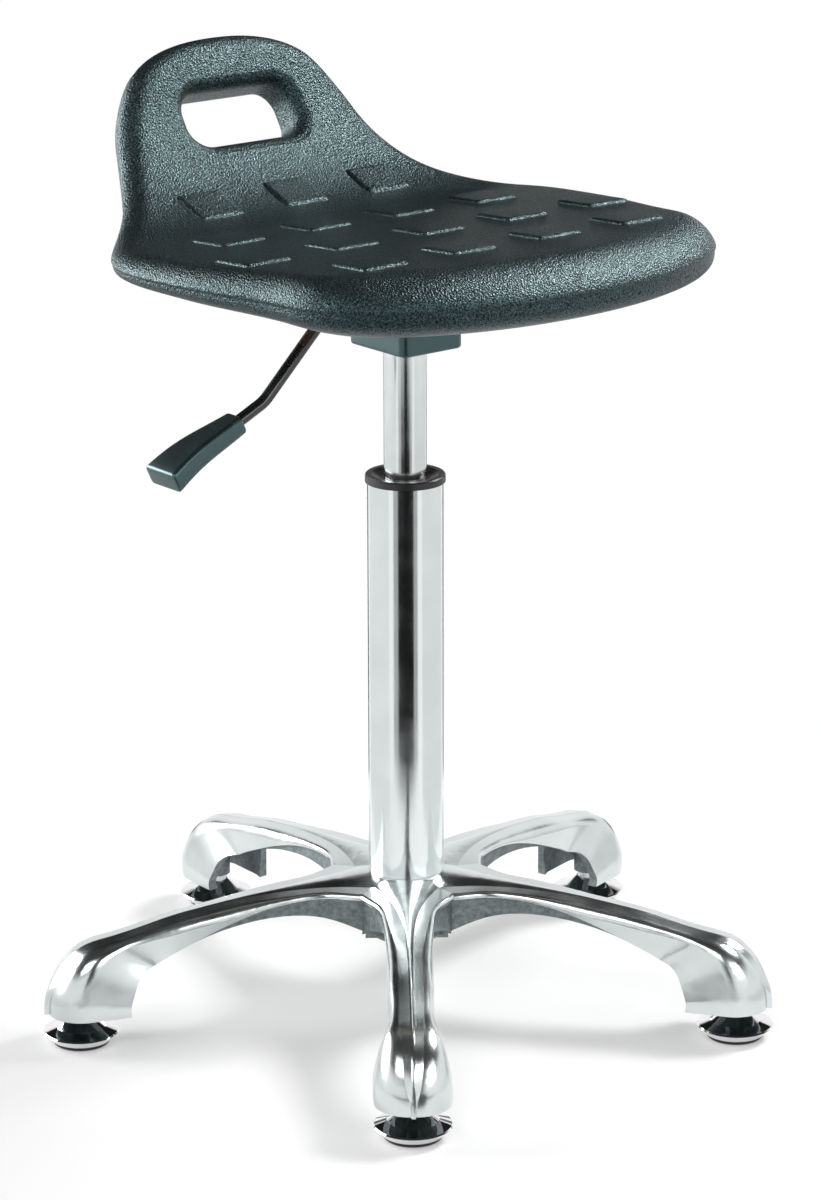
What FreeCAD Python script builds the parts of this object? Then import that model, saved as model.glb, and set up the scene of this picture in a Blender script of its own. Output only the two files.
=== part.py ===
import FreeCAD, Part
import math
import os
import Sketcher

# Driving dimensions in millimetres, with angles in degrees.
# The origin is on the floor under the column axis, +Z is up and the chair faces -Y.
SIZES = {
    # Column
    "tube_d": 50.0,
    "tube_wall": 2.0,
    "tube_top_z": 359.4,
    "seam_z": 93.3,
    "tube_step": 1.6,
    "tube_taper": 1.0,
    "tube_foot_z": 47.0,
    "tube_lip": 2.0,
    "collar_d": 52.4,
    "collar_top_z": 364.4,
    "collar_spigot": 14.0,
    "collar_dish": 2.2,
    "bush_length": 110.0,
    "end_plate": 4.0,
    "plate_hole_d": 13.0,
    # Thrust bearing and piston rod
    "race_d": 28.0,
    "race_thickness": 1.5,
    "ball_d": 4.0,
    "ball_count": 8,
    "rod_d": 10.0,
    "rod_foot_d": 9.0,
    "clip_thickness": 1.5,
    "clip_d": 16.0,
    "clip_groove_d": 7.0,
    "clip_gap": 5.4,
    "rod_tail": 1.0,
    "bumper_d": 24.0,
    "bumper_height": 9.0,
    "piston_height": 14.0,
    "piston_groove": 1.6,
    "piston_z": 300.0,
    # Gas cylinder
    "cylinder_d": 28.0,
    "cylinder_wall": 1.5,
    "cylinder_foot_z": 124.0,
    "cylinder_top_z": 468.0,
    "cylinder_head": 34.0,
    "cylinder_taper": 0.9,
    "guide_height": 22.0,
    "button_d": 8.0,
    "button_tip_d": 4.0,
    "button_length": 24.0,
    # Five-star base
    "arm_count": 5,
    "base_turn": -2.05,
    "glide_r": 225.0,
    "hub_sleeve_d": 53.0,
    "hub_foot_z": 46.8,
    "hub_chamfer": 4.0,
    "hub_fillet": 4.5,
    "arm_root_z": 89.6,
    "arm_knee_drop": 19.0,
    "arm_knee_back": 22.0,
    "arm_waist_w": 28.4,
    "arm_root_w": 60.0,
    "arm_end_w": 49.0,
    "arm_end_z": 22.0,
    "arm_lip": 4.0,
    "arm_edge_r": 6.5,
    "arch_r": 90.0,
    "arch_z": 74.5,
    "arch_hub_drop": 19.0,
    "arch_knee_drop": 23.0,
    "heel_back": 46.0,
    "heel_length": 18.0,
    "web_setback": 2.5,
    "cast_wall": 4.5,
    "crest_height": 3.2,
    "rib_thickness": 3.0,
    "boss_d": 20.0,
    # Glides
    "glide_d": 50.0,
    "glide_rim_z": 8.0,
    "glide_neck_d": 16.0,
    "glide_cap_z": 17.5,
    "glide_shell": 1.6,
    "pad_d": 37.0,
    "pad_height": 3.0,
    "stem_d": 11.0,
    "stem_collar_d": 15.0,
    "stem_length": 27.0,
    # Mechanism
    "housing_w": 50.0,
    "housing_front": 30.0,
    "housing_back": 28.0,
    "housing_foot_z": 449.3,
    "housing_wall": 2.5,
    "housing_corner": 6.0,
    "socket_wall": 2.6,
    "plate_z": 496.0,
    "plate_w": 150.0,
    "plate_depth": 140.0,
    "plate_thickness": 3.0,
    "plate_corner": 12.0,
    "bolt_pitch_x": 116.0,
    "bolt_pitch_y": 106.0,
    "bolt_d": 8.0,
    "bolt_head_d": 14.0,
    "bolt_head": 5.0,
    "bolt_length": 12.4,
    "nut_flange_d": 19.0,
    "nut_flange": 1.6,
    "nut_barrel_d": 10.0,
    # Release lever
    "lever_d": 8.0,
    "lever_z": 477.0,
    "pivot_x": 20.0,
    "pivot_d": 4.0,
    "lever_inner": 5.0,
    "lever_out": 66.0,
    "lever_knee_x": 113.5,
    "lever_knee_z": 430.4,
    "lever_bend_r": 22.0,
    "grip_start_x": 134.0,
    "grip_end_x": 192.5,
    "grip_slope": 25.0,
    "grip_start_w": 15.0,
    "grip_end_w": 31.0,
    "grip_thickness": 14.0,
    "grip_edge_r": 2.5,
    # Seat
    "board_w": 210.0,
    "board_depth": 190.0,
    "board_thickness": 10.0,
    "board_corner": 25.0,
    "rim_z": 509.0,
    "sit_z": 526.3,
    "sit_slope": 3.6,
    "sit_crown": 0.8,
    "pan_front": 185.0,
    "front_half_w": 166.0,
    "front_corner": 94.0,
    "pan_half_w": 180.0,
    "back_half_w": 175.0,
    "bend_y": 75.0,
    "bend_r": 126.0,
    "bend_angle": 64.7,
    "bend_half_w": 120.0,
    "handle_foot_half_w": 92.0,
    "handle_half_w": 98.0,
    "handle_height": 43.0,
    "handle_corner": 61.0,
    "handle_front": 15.0,
    "handle_back": 16.0,
    "edge_round": 20.0,
    "handle_round": 17.0,
    "front_nose": 34.0,
    "end_dome": 0.085,
    "front_depth": 15.0,
    "pan_depth": 10.0,
    "front_taper": 38.0,
    "corner_taper": 62.0,
    "side_taper": 40.0,
    "handle_taper": 18.0,
    "hole_w": 88.0,
    "hole_h": 38.0,
    "hole_drop": 58.0,
    "hole_rim_r": 6.0,
    "pad_pitch": 69.0,
    "pad_row_pitch": 71.5,
    "pad_side": 35.0,
    "pad_bevel": 3.0,
    "pad_rise": 1.8,
    "pad_first_row_y": -95.0,
    # Clearances
    "fit": 0.05,
    "seat_gap": 0.3,
    "face_gap": 0.15,
}

doc = FreeCAD.newDocument("work_chair")
sheet = doc.addObject("Spreadsheet::Sheet", "Sizes")
for row, (alias, number) in enumerate(SIZES.items(), start=1):
    sheet.set(f"A{row}", alias)
    sheet.set(f"B{row}", str(number))
    sheet.setAlias(f"B{row}", alias)
doc.recompute()


class Size:
    """A length that carries its number and the sheet expression that gives it."""

    def __init__(self, number, text):
        self.number = float(number)
        self.text = text

    def joined(self, other, sign, number):
        text = other.text if isinstance(other, Size) else repr(float(other))
        return Size(number, f"({self.text} {sign} {text})")

    def __add__(self, other):
        return self.joined(other, "+", self.number + float(other))

    def __sub__(self, other):
        return self.joined(other, "-", self.number - float(other))

    def __mul__(self, other):
        return self.joined(other, "*", self.number * float(other))

    def __truediv__(self, other):
        return self.joined(other, "/", self.number / float(other))

    def __neg__(self):
        return Size(-self.number, f"(0 - {self.text})")

    def __float__(self):
        return self.number


def size(name):
    return Size(SIZES[name], f"Sizes.{name}")


def number(name):
    return float(sheet.get(name))


ZERO = Size(0.0, "0")
nodes = []


def keep(label, obj):
    obj.Label = label
    nodes.append(obj)
    return obj


def bind(obj, **expressions):
    for name, value in expressions.items():
        obj.setExpression(name, value.text)


def place(obj, x=None, y=None, z=None):
    for axis, value in (("x", x), ("y", y), ("z", z)):
        if value is not None:
            obj.setExpression(f"Placement.Base.{axis}", value.text)


def outline_sketch(body, name, role, points):
    """A closed outline whose every corner is bound to the sheet."""
    sketch = body.newObject("Sketcher::SketchObject", name)
    plane = next(f for f in body.Origin.OriginFeatures if f.Role == role)
    sketch.AttachmentSupport = [(plane, "")]
    sketch.MapMode = "FlatFace"
    corners = [FreeCAD.Vector(float(x), float(y), 0) for x, y in points]
    for start, end in zip(corners, corners[1:] + corners[:1]):
        sketch.addGeometry(Part.LineSegment(start, end), False)
    for index, (x, y) in enumerate(points):
        following = (index + 1) % len(points)
        sketch.addConstraint(Sketcher.Constraint("Coincident", index, 2, following, 1))
        for kind, value in (("DistanceX", x), ("DistanceY", y)):
            fixed = Sketcher.Constraint(kind, -1, 1, index, 1, float(value))
            key = sketch.addConstraint(fixed)
            sketch.setExpression(f"Constraints[{key}]", value.text)
    return sketch


def turned(label, points):
    """A body of revolution about its own Z axis from a closed (radius, height) outline."""
    body = doc.addObject("PartDesign::Body", label + "_body")
    sketch = outline_sketch(body, label + "_outline", "XZ_Plane", points)
    turn = body.newObject("PartDesign::Revolution", label + "_turn")
    turn.Profile = sketch
    turn.ReferenceAxis = (sketch, ["V_Axis"])
    turn.Angle = 360
    return keep(label, body)


def rectangle(half_x, front, back):
    """Corners of a rectangle that is symmetric in X."""
    return [(-half_x, -front), (half_x, -front), (half_x, back), (-half_x, back)]


def lifted(sketch, height):
    sketch.setExpression("AttachmentOffset.Base.z", height.text)


def padded(label, points, base_z, height, corner):
    """A prism on an outline in the XY plane with rounded upright edges."""
    body = doc.addObject("PartDesign::Body", label + "_body")
    sketch = outline_sketch(body, label + "_outline", "XY_Plane", points)
    lifted(sketch, base_z)
    pad = body.newObject("PartDesign::Pad", label + "_pad")
    pad.Profile = sketch
    bind(pad, Length=height)
    doc.recompute()
    rounding = body.newObject("PartDesign::Fillet", label + "_corners")
    rounding.Base = (pad, upright_edges(pad.Shape))
    bind(rounding, Radius=corner)
    doc.recompute()
    return keep(label, body)


def upright_edges(shape):
    names = []
    for index, edge in enumerate(shape.Edges, start=1):
        low, high = edge.Vertexes[0].Point, edge.Vertexes[-1].Point
        if math.hypot(low.x - high.x, low.y - high.y) < 1e-6:
            names.append(f"Edge{index}")
    return names


def drilled(body, name, role, offset, circles, depth=None, reverse=False):
    """Round pockets from one sketch plane: each circle is (x, y, diameter)."""
    sketch = body.newObject("Sketcher::SketchObject", name + "_sketch")
    plane = next(f for f in body.Origin.OriginFeatures if f.Role == role)
    sketch.AttachmentSupport = [(plane, "")]
    sketch.MapMode = "FlatFace"
    lifted(sketch, offset)
    for index, (x, y, diameter) in enumerate(circles):
        centre = FreeCAD.Vector(float(x), float(y), 0)
        normal = FreeCAD.Vector(0, 0, 1)
        sketch.addGeometry(Part.Circle(centre, normal, float(diameter) / 2), False)
        limits = (
            (Sketcher.Constraint("DistanceX", -1, 1, index, 3, float(x)), x),
            (Sketcher.Constraint("DistanceY", -1, 1, index, 3, float(y)), y),
            (Sketcher.Constraint("Diameter", index, float(diameter)), diameter),
        )
        for limit, value in limits:
            key = sketch.addConstraint(limit)
            sketch.setExpression(f"Constraints[{key}]", value.text)
    before = body.Shape.Volume
    pocket = body.newObject("PartDesign::Pocket", name)
    pocket.Profile = sketch
    pocket.Reversed = reverse
    if depth is None:
        pocket.Type = "ThroughAll"
    else:
        bind(pocket, Length=depth)
    doc.recompute()
    if body.Shape.Volume >= before - 1e-6:
        raise ValueError(name + " cut nothing")
    return pocket


def primitive(kind, name, x=None, y=None, z=None, **sizes):
    obj = doc.addObject(kind, name)
    bind(obj, **sizes)
    place(obj, x, y, z)
    return obj


def boolean(kind, name, base, tool):
    obj = doc.addObject(kind, name)
    obj.Base = base
    obj.Tool = tool
    return obj


# Values that several pieces share
fit = size("fit")
seat_gap = size("seat_gap")
face_gap = size("face_gap")
tube_r = size("tube_d") / 2
tube_bore = tube_r - size("tube_wall")
neck_r = tube_r - size("tube_step")
foot_r = neck_r - size("tube_taper")
foot_bore = foot_r - size("tube_wall")
cylinder_r = size("cylinder_d") / 2
cylinder_bore = cylinder_r - size("cylinder_wall")
rod_r = size("rod_d") / 2
rod_foot_r = size("rod_foot_d") / 2
plate_floor_z = size("tube_foot_z") + size("tube_lip")
race_floor_z = plate_floor_z + size("end_plate")
ball_floor_z = race_floor_z + size("race_thickness")
upper_race_z = ball_floor_z + size("ball_d") + fit * 2
shoulder_z = upper_race_z + size("race_thickness")
lever_r = size("lever_d") / 2
button_top_z = size("lever_z") - lever_r - seat_gap
stem_r = size("stem_d") / 2
ARM_STEP = 360.0 / SIZES["arm_count"]
ARM_ANGLES = [ARM_STEP * (k + 0.5) - 90.0 + SIZES["base_turn"] for k in range(SIZES["arm_count"])]


def outer_tube():
    lip_r = foot_bore - size("tube_lip")
    step_z = size("seam_z") + face_gap
    bore_step_z = size("seam_z") + size("tube_wall") * 2
    return turned("outer_tube", [
        (lip_r, size("tube_foot_z")),
        (foot_r, size("tube_foot_z")),
        (neck_r, step_z),
        (tube_r, step_z),
        (tube_r, size("tube_top_z")),
        (tube_bore, size("tube_top_z")),
        (tube_bore, bore_step_z),
        (neck_r - size("tube_wall"), size("seam_z") - size("tube_wall")),
        (foot_bore, plate_floor_z),
        (lip_r, plate_floor_z),
    ])


def column_collar():
    inner = cylinder_r + seat_gap
    outer = size("collar_d") / 2
    chamfer = size("collar_dish") / 3
    spigot_z = size("tube_top_z") - size("collar_spigot")
    return turned("column_collar", [
        (inner, spigot_z),
        (tube_bore - fit, spigot_z),
        (tube_bore - fit, size("tube_top_z")),
        (outer, size("tube_top_z")),
        (outer, size("collar_top_z") - chamfer),
        (outer - chamfer, size("collar_top_z")),
        (outer - size("collar_dish") * 2, size("collar_top_z")),
        (inner + size("collar_dish"), size("collar_top_z") - size("collar_dish")),
        (inner, size("collar_top_z") - size("collar_dish")),
    ])


def guide_bush():
    top_z = size("tube_top_z") - size("collar_spigot")
    foot_z = top_z - size("bush_length")
    waist_r = tube_bore - size("tube_wall") * 1.5
    land = size("bush_length") / 6
    return turned("guide_bush", [
        (cylinder_r + fit, foot_z),
        (tube_bore - fit, foot_z),
        (tube_bore - fit, foot_z + land),
        (waist_r, foot_z + land),
        (waist_r, top_z - land),
        (tube_bore - fit, top_z - land),
        (tube_bore - fit, top_z),
        (cylinder_r + fit, top_z),
    ])


def ring(label, inner, outer, low, high):
    return turned(label, [(inner, low), (outer, low), (outer, high), (inner, high)])


def thrust_bearing():
    hole_r = size("plate_hole_d") / 2
    race_r = size("race_d") / 2
    ring("column_end_plate", hole_r, foot_bore - fit, plate_floor_z, race_floor_z)
    ring("lower_race", hole_r, race_r, race_floor_z, ball_floor_z)
    ring("upper_race", rod_foot_r + fit, race_r, upper_race_z, shoulder_z)
    ball_r = size("ball_d") / 2
    orbit = (hole_r + race_r) / 2
    centre_z = ball_floor_z + ball_r + fit
    cage_half = ball_r / 3
    cage = primitive("Part::Cylinder", "cage_disc", z=centre_z - cage_half,
                     Radius=race_r - fit, Height=cage_half * 2)
    eye = primitive("Part::Cylinder", "cage_eye", z=centre_z - cage_half * 2,
                    Radius=hole_r, Height=cage_half * 4)
    cage = boolean("Part::Cut", "cage_ring", cage, eye)
    balls = []
    for k in range(SIZES["ball_count"]):
        angle = 2 * math.pi * k / SIZES["ball_count"]
        x, y = orbit * math.cos(angle), orbit * math.sin(angle)
        pocket = primitive("Part::Cylinder", f"cage_pocket_{k}", x, y, centre_z - cage_half * 2,
                           Radius=ball_r + fit * 2, Height=cage_half * 4)
        cage = boolean("Part::Cut", f"cage_cut_{k}", cage, pocket)
        balls.append(primitive("Part::Sphere", f"ball_{k}", x, y, centre_z, Radius=ball_r))
    keep("ball_cage", cage)
    group = doc.addObject("Part::Compound", "ball_set")
    group.Links = balls
    keep("thrust_balls", group)


def piston_rod():
    clip_top_z = plate_floor_z - face_gap
    clip_low_z = clip_top_z - size("clip_thickness")
    groove_r = size("clip_groove_d") / 2
    top_z = size("piston_z") + size("piston_height")
    return turned("piston_rod", [
        (ZERO, clip_low_z - size("rod_tail")),
        (rod_foot_r, clip_low_z - size("rod_tail")),
        (rod_foot_r, clip_low_z - fit),
        (groove_r, clip_low_z - fit),
        (groove_r, clip_top_z + fit),
        (rod_foot_r, clip_top_z + fit),
        (rod_foot_r, shoulder_z),
        (rod_r, shoulder_z),
        (rod_r, size("piston_z")),
        (groove_r, size("piston_z")),
        (groove_r, top_z),
        (ZERO, top_z),
    ])


def retaining_clip():
    low_z = plate_floor_z - face_gap - size("clip_thickness")
    clip_r = size("clip_d") / 2
    disc = primitive("Part::Cylinder", "clip_disc", z=low_z,
                     Radius=clip_r, Height=size("clip_thickness"))
    eye = primitive("Part::Cylinder", "clip_eye", z=low_z - size("clip_thickness"),
                    Radius=size("clip_groove_d") / 2 + fit, Height=size("clip_thickness") * 3)
    mouth = primitive("Part::Box", "clip_mouth", x=-(size("clip_gap") / 2),
                      z=low_z - size("clip_thickness"), Length=size("clip_gap"),
                      Width=clip_r * 2, Height=size("clip_thickness") * 3)
    disc = boolean("Part::Cut", "clip_ring", disc, eye)
    return keep("retaining_clip", boolean("Part::Cut", "clip_open", disc, mouth))


def piston_and_bumper():
    bumper_r = size("bumper_d") / 2
    ring("rubber_bumper", rod_r + fit, bumper_r, shoulder_z, shoulder_z + size("bumper_height"))
    low_z = size("piston_z")
    high_z = low_z + size("piston_height")
    middle_z = (low_z + high_z) / 2
    land_r = cylinder_bore - fit * 2
    groove_r = land_r - size("piston_groove")
    half = size("piston_groove")
    inner = size("clip_groove_d") / 2 + fit
    turned("piston", [
        (inner, low_z),
        (land_r, low_z),
        (land_r, middle_z - half),
        (groove_r, middle_z - half),
        (groove_r, middle_z + half),
        (land_r, middle_z + half),
        (land_r, high_z),
        (inner, high_z),
    ])
    ring("piston_ring", groove_r + fit, cylinder_bore - fit, middle_z - half + fit,
         middle_z + half - fit)


def gas_cylinder():
    cone_z = size("housing_foot_z") - size("housing_wall")
    head_z = size("cylinder_top_z") - size("cylinder_head")
    button_bore = size("button_d") / 2 + fit
    turned("gas_cylinder", [
        (cylinder_bore, size("cylinder_foot_z")),
        (cylinder_r, size("cylinder_foot_z")),
        (cylinder_r, cone_z),
        (cylinder_r - size("cylinder_taper"), size("cylinder_top_z")),
        (button_bore, size("cylinder_top_z")),
        (button_bore, head_z),
        (cylinder_bore, head_z),
    ])
    ring("rod_guide", rod_r + fit, cylinder_bore - fit, size("cylinder_foot_z"),
         size("cylinder_foot_z") + size("guide_height"))
    low_z = button_top_z - size("button_length")
    chamfer = (size("button_d") - size("button_tip_d")) / 2
    turned("valve_button", [
        (ZERO, low_z),
        (size("button_d") / 2, low_z),
        (size("button_d") / 2, button_top_z - chamfer),
        (size("button_tip_d") / 2, button_top_z),
        (ZERO, button_top_z),
    ])


def glide(k, angle):
    """One glide at the end of an arm: a dished cap, a rubber pad and a shouldered stem."""
    rim_r = size("glide_d") / 2
    rim_z = size("glide_rim_z")
    cap_z = size("glide_cap_z")
    shell = size("glide_shell")
    edge = shell / 2
    neck = size("glide_neck_d") / 2
    pad_r = size("pad_d") / 2
    pad_z = size("pad_height")
    bore = stem_r + fit
    dish_r = (neck + rim_r) / 2
    dish_z = rim_z + (cap_z - rim_z) * 0.36
    cap = turned(f"glide_cap_{k}", [
        (bore, cap_z),
        (neck, cap_z),
        (dish_r, dish_z),
        (rim_r - edge, rim_z + edge),
        (rim_r, rim_z),
        (rim_r - edge, rim_z - edge),
        (pad_r + shell, pad_z),
        (pad_r, pad_z),
        (rim_r - shell * 2, rim_z - edge),
        (dish_r, dish_z - shell),
        (neck, cap_z - shell * 1.4),
        (bore, cap_z - shell * 1.4),
    ])
    core_z = pad_z * 2
    pad = turned(f"glide_pad_{k}", [
        (ZERO, ZERO),
        (pad_r - edge, ZERO),
        (pad_r, edge),
        (pad_r, pad_z - fit),
        (pad_r - seat_gap, pad_z),
        (pad_r - seat_gap, core_z),
        (ZERO, core_z),
    ])
    head_z = cap_z - shell * 1.4 - fit
    collar_r = size("stem_collar_d") / 2
    seat_z = size("arm_end_z") - face_gap
    top_z = size("arm_end_z") + size("stem_length")
    stem = turned(f"glide_stem_{k}", [
        (ZERO, core_z + fit),
        (collar_r, core_z + fit),
        (collar_r, head_z),
        (stem_r, head_z),
        (stem_r, cap_z + fit),
        (collar_r, cap_z + fit),
        (collar_r, seat_z),
        (stem_r, seat_z),
        (stem_r, top_z - edge),
        (stem_r - edge, top_z),
        (ZERO, top_z),
    ])
    turn = math.radians(angle)
    for body in (cap, pad, stem):
        place(body, size("glide_r") * math.cos(turn), size("glide_r") * math.sin(turn))


def vector(x, y, z):
    return FreeCAD.Vector(x, y, z)


def polygon(points):
    return Part.makePolygon(points + points[:1])


def feature(label, shape):
    obj = doc.addObject("Part::Feature", label + "_shape")
    obj.Shape = shape
    return keep(label, obj)


def rounded_wire(frame, half_x, half_y, radius):
    """A rounded rectangle in the XY plane of a placement."""
    corners = []
    for sx, sy, turn in ((1, -1, -90), (1, 1, 0), (-1, 1, 90), (-1, -1, 180)):
        centre = (sx * (half_x - radius), sy * (half_y - radius))
        arc = []
        for angle in (turn, turn + 45, turn + 90):
            spot = math.radians(angle)
            arc.append(frame.multVec(vector(centre[0] + radius * math.cos(spot),
                                            centre[1] + radius * math.sin(spot), 0)))
        corners.append(arc)
    edges = []
    for here, following in zip(corners, corners[1:] + corners[:1]):
        edges.append(Part.Arc(*here).toShape())
        edges.append(Part.LineSegment(here[2], following[0]).toShape())
    return Part.Wire(edges)


class Arm:
    """The form of one base arm, which runs along +X: heights and widths over the radius r."""

    def __init__(self):
        self.root_z = number("arm_root_z")
        self.knee_r = number("glide_r") - number("arm_knee_back")
        self.knee_drop = number("arm_knee_drop")
        self.waist = number("arm_waist_w") / 2
        self.root = number("arm_root_w") / 2
        self.end = number("arm_end_w") / 2
        self.end_z = number("arm_end_z")
        self.lip = number("arm_lip")
        self.edge_r = number("arm_edge_r")
        self.hub_r = number("tube_d") / 2
        self.root_r = self.hub_r * 1.8
        self.arch_r = number("arch_r")
        self.arch_z = number("arch_z")
        self.heel_r = number("glide_r") - number("heel_back")
        self.heel_length = number("heel_length")
        self.tip_r = number("glide_r") + self.end

    def top(self, r):
        share = max(r - self.root_r, 0.0) / (self.knee_r - self.root_r)
        return self.root_z - self.knee_drop * share * share

    def half_width(self, r):
        flare = min(self.root_r / r, 1.0) ** 3
        return self.waist + (self.root - self.waist) * flare

    def arch(self, r):
        """Height of the lower edge, an arch with its crown at arch_r."""
        if r < self.arch_r:
            share = (self.arch_r - r) / (self.arch_r - self.hub_r)
            return self.arch_z - number("arch_hub_drop") * share * share
        share = (r - self.arch_r) / (self.heel_r - self.arch_r)
        return self.arch_z - number("arch_knee_drop") * share * share

    def depth(self, r):
        """Depth of the polished side below the top: a thin lip that grows to the whole arm."""
        start = self.arch_r * 0.95
        share = max(r - start, 0.0) / (self.heel_r - start)
        full = self.top(self.heel_r) - self.arch(self.heel_r)
        return self.lip + (full - self.lip) * share ** 1.4

    def crest(self, r):
        """Half width and height of the rounded keel that the hub runs out into."""
        fade = math.exp(-(max(r - self.hub_r, 0.0) / (self.hub_r * 1.5)) ** 1.2)
        half = self.hub_r * (0.05 + 0.85 * fade)
        return half, number("crest_height") * (0.12 + 0.88 * fade)

    def heel(self, share):
        """Inner lower edge of the foot block, from the arch down to the glide face."""
        turn = share * math.pi / 2
        fall = self.arch(self.heel_r) - self.end_z
        return (self.heel_r + self.heel_length * math.sin(turn),
                self.end_z + fall * math.cos(turn))

    def toe(self, share):
        """Outer profile of the foot block, a quarter ellipse from the knee to the tip."""
        turn = share * math.pi / 2
        rise = self.top(self.knee_r) - self.end_z
        return (self.knee_r + (self.tip_r - self.knee_r) * math.sin(turn),
                self.end_z + rise * math.cos(turn))

    def step(self, r):
        """Height of the rough web under the polished lip, and how far it is set back."""
        height = self.top(r) - self.depth(r) - self.arch(r)
        share = max(r - self.arch_r, 0.0) / (self.heel_r - self.arch_r)
        setback = number("web_setback") * (1 - share ** 3)
        return max(height, self.lip * 0.1), max(setback, self.lip * 0.08)

    def section(self, low, high, half, edge_r, crest, step):
        """One closed section of lines and arcs between a lower and an upper point (r, z)."""
        run = vector(high[0] - low[0], 0, high[1] - low[1])
        length = run.Length
        run.normalize()
        foot = vector(low[0], 0, low[1])
        web_height, setback = step
        crest_half = min(crest[0], half * 0.7)
        side = length - crest[1]
        radius = min(edge_r, half - crest_half - 0.3, (side - web_height) * 0.75)
        shoulder = side - radius * 0.12
        turn = math.pi / 4

        def point(across, up):
            return foot + run * up + vector(0, across, 0)

        def outline(sign):
            inner = half - radius
            return [
                point(sign * (half - setback), 0),
                point(sign * (half - setback), web_height),
                point(sign * half, web_height),
                point(sign * half, shoulder - radius),
                point(sign * (inner + radius * math.cos(turn)), shoulder - radius * (1 - math.sin(turn))),
                point(sign * inner, shoulder),
                point(sign * crest_half, side),
            ]

        right, left = outline(1), outline(-1)
        edges = [
            Part.LineSegment(left[0], right[0]),
            Part.LineSegment(right[0], right[1]),
            Part.LineSegment(right[1], right[2]),
            Part.LineSegment(right[2], right[3]),
            Part.Arc(right[3], right[4], right[5]),
            Part.LineSegment(right[5], right[6]),
            Part.Arc(right[6], point(0, length), left[6]),
            Part.LineSegment(left[6], left[5]),
            Part.Arc(left[5], left[4], left[3]),
            Part.LineSegment(left[3], left[2]),
            Part.LineSegment(left[2], left[1]),
            Part.LineSegment(left[1], left[0]),
        ]
        return Part.Wire([edge.toShape() for edge in edges])

    def foot_sections(self):
        """Sections that fan round the knee and swell into the bullet-shaped foot."""
        wires = []
        for share in (0.0, 0.25, 0.5, 0.75, 1.0):
            half = self.swell(share)
            edge_r = self.edge_r + (self.end * 0.93 - self.edge_r) * share
            crest = self.crest(self.knee_r + share * self.end)
            crest = (crest[0], crest[1] * (1 - share) + 0.05)
            wires.append(self.section(self.heel(share), self.toe(share), half, edge_r, crest,
                                      self.step(self.heel_r)))
        return wires

    def shank_radii(self):
        inner = self.hub_r * 0.5
        shares = [0.0, 0.1, 0.19, 0.28, 0.4, 0.54, 0.68, 0.81, 0.92]
        return [inner + (self.heel_r - inner) * share for share in shares]

    def body(self):
        wires = []
        for r in self.shank_radii():
            crest = self.crest(r)
            wires.append(self.section((r, self.arch(r)), (r, self.top(r) + crest[1]),
                                      self.half_width(r), self.edge_r, crest, self.step(r)))
        return Part.makeLoft(wires + self.foot_sections(), True, False)

    def swell(self, share):
        """Half width of the foot block, which grows from the waist to the end."""
        return self.waist + (self.end - self.waist) * math.sin(share * math.pi / 2) ** 1.2

    def wall(self, r):
        """Distance from the arm's flank to its hollow: the web's setback and the cast wall."""
        return self.step(r)[1] + number("cast_wall")

    def channel(self):
        """The hollow under the arm, open downwards and into the foot block."""
        roof = number("web_setback") + number("cast_wall")
        start = self.hub_r + roof * 3
        wires = []
        for share in (0.0, 0.35, 0.7, 1.0):
            r = start + (self.heel_r - start) * share
            half = self.half_width(r) - self.wall(r)
            low, high = self.arch(r) - roof, self.top(r) - roof
            wires.append(polygon([vector(r, -half, low), vector(r, half, low),
                                  vector(r, half, high), vector(r, -half, high)]))
        return Part.makeLoft(wires, True, False)

    def foot_hollow(self):
        """The hollow of the foot block, one wall inside its outer form and open below."""
        wall = number("cast_wall")
        wires = []
        for share in (0.0, 0.35, 0.7, 1.0):
            low, high = self.heel(share), self.toe(share)
            run = vector(high[0] - low[0], 0, high[1] - low[1])
            length = run.Length - wall
            run.normalize()
            half = self.swell(share) - self.wall(self.heel_r)
            radius = max(half * 0.25, half * 0.85 * share)
            middle = vector(low[0], 0, low[1]) + run * (length / 2 - wall)
            turn = FreeCAD.Rotation(vector(0, 1, 0), run, vector(0, 1, 0).cross(run))
            frame = FreeCAD.Placement(middle, turn)
            wires.append(rounded_wire(frame, half, length / 2 + wall, radius))
        below = wires[-1].copy()
        below.translate(vector(0, 0, -wall))
        straight = Part.makeLoft([wires[-1], below], True, True)
        return Part.makeLoft(wires, True, False).fuse(straight)

    def rib(self, r):
        half = self.half_width(r) - number("web_setback") - number("cast_wall") / 2
        low = self.arch(r) + number("cast_wall")
        high = self.top(r) - number("cast_wall")
        thickness = number("rib_thickness")
        return Part.makeBox(thickness, 2 * half, high - low, vector(r - thickness / 2, -half, low))

    def boss(self):
        rise = number("stem_length") + number("cast_wall")
        return Part.makeCylinder(number("boss_d") / 2, rise,
                                 vector(number("glide_r"), 0, self.end_z))

    def bore(self):
        depth = number("stem_length") + number("face_gap") * 4
        radius = number("stem_d") / 2 + number("fit")
        start = vector(number("glide_r"), 0, self.end_z - depth)
        return Part.makeCylinder(radius, 2 * depth, start)

    def solid(self):
        body = self.body()
        boss = self.boss().common(body)
        ribs = [self.rib(self.arch_r * share) for share in (0.9, 1.4)]
        shell = body.cut([self.channel(), self.foot_hollow()])
        return shell.fuse([boss] + ribs).cut(self.bore())


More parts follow.
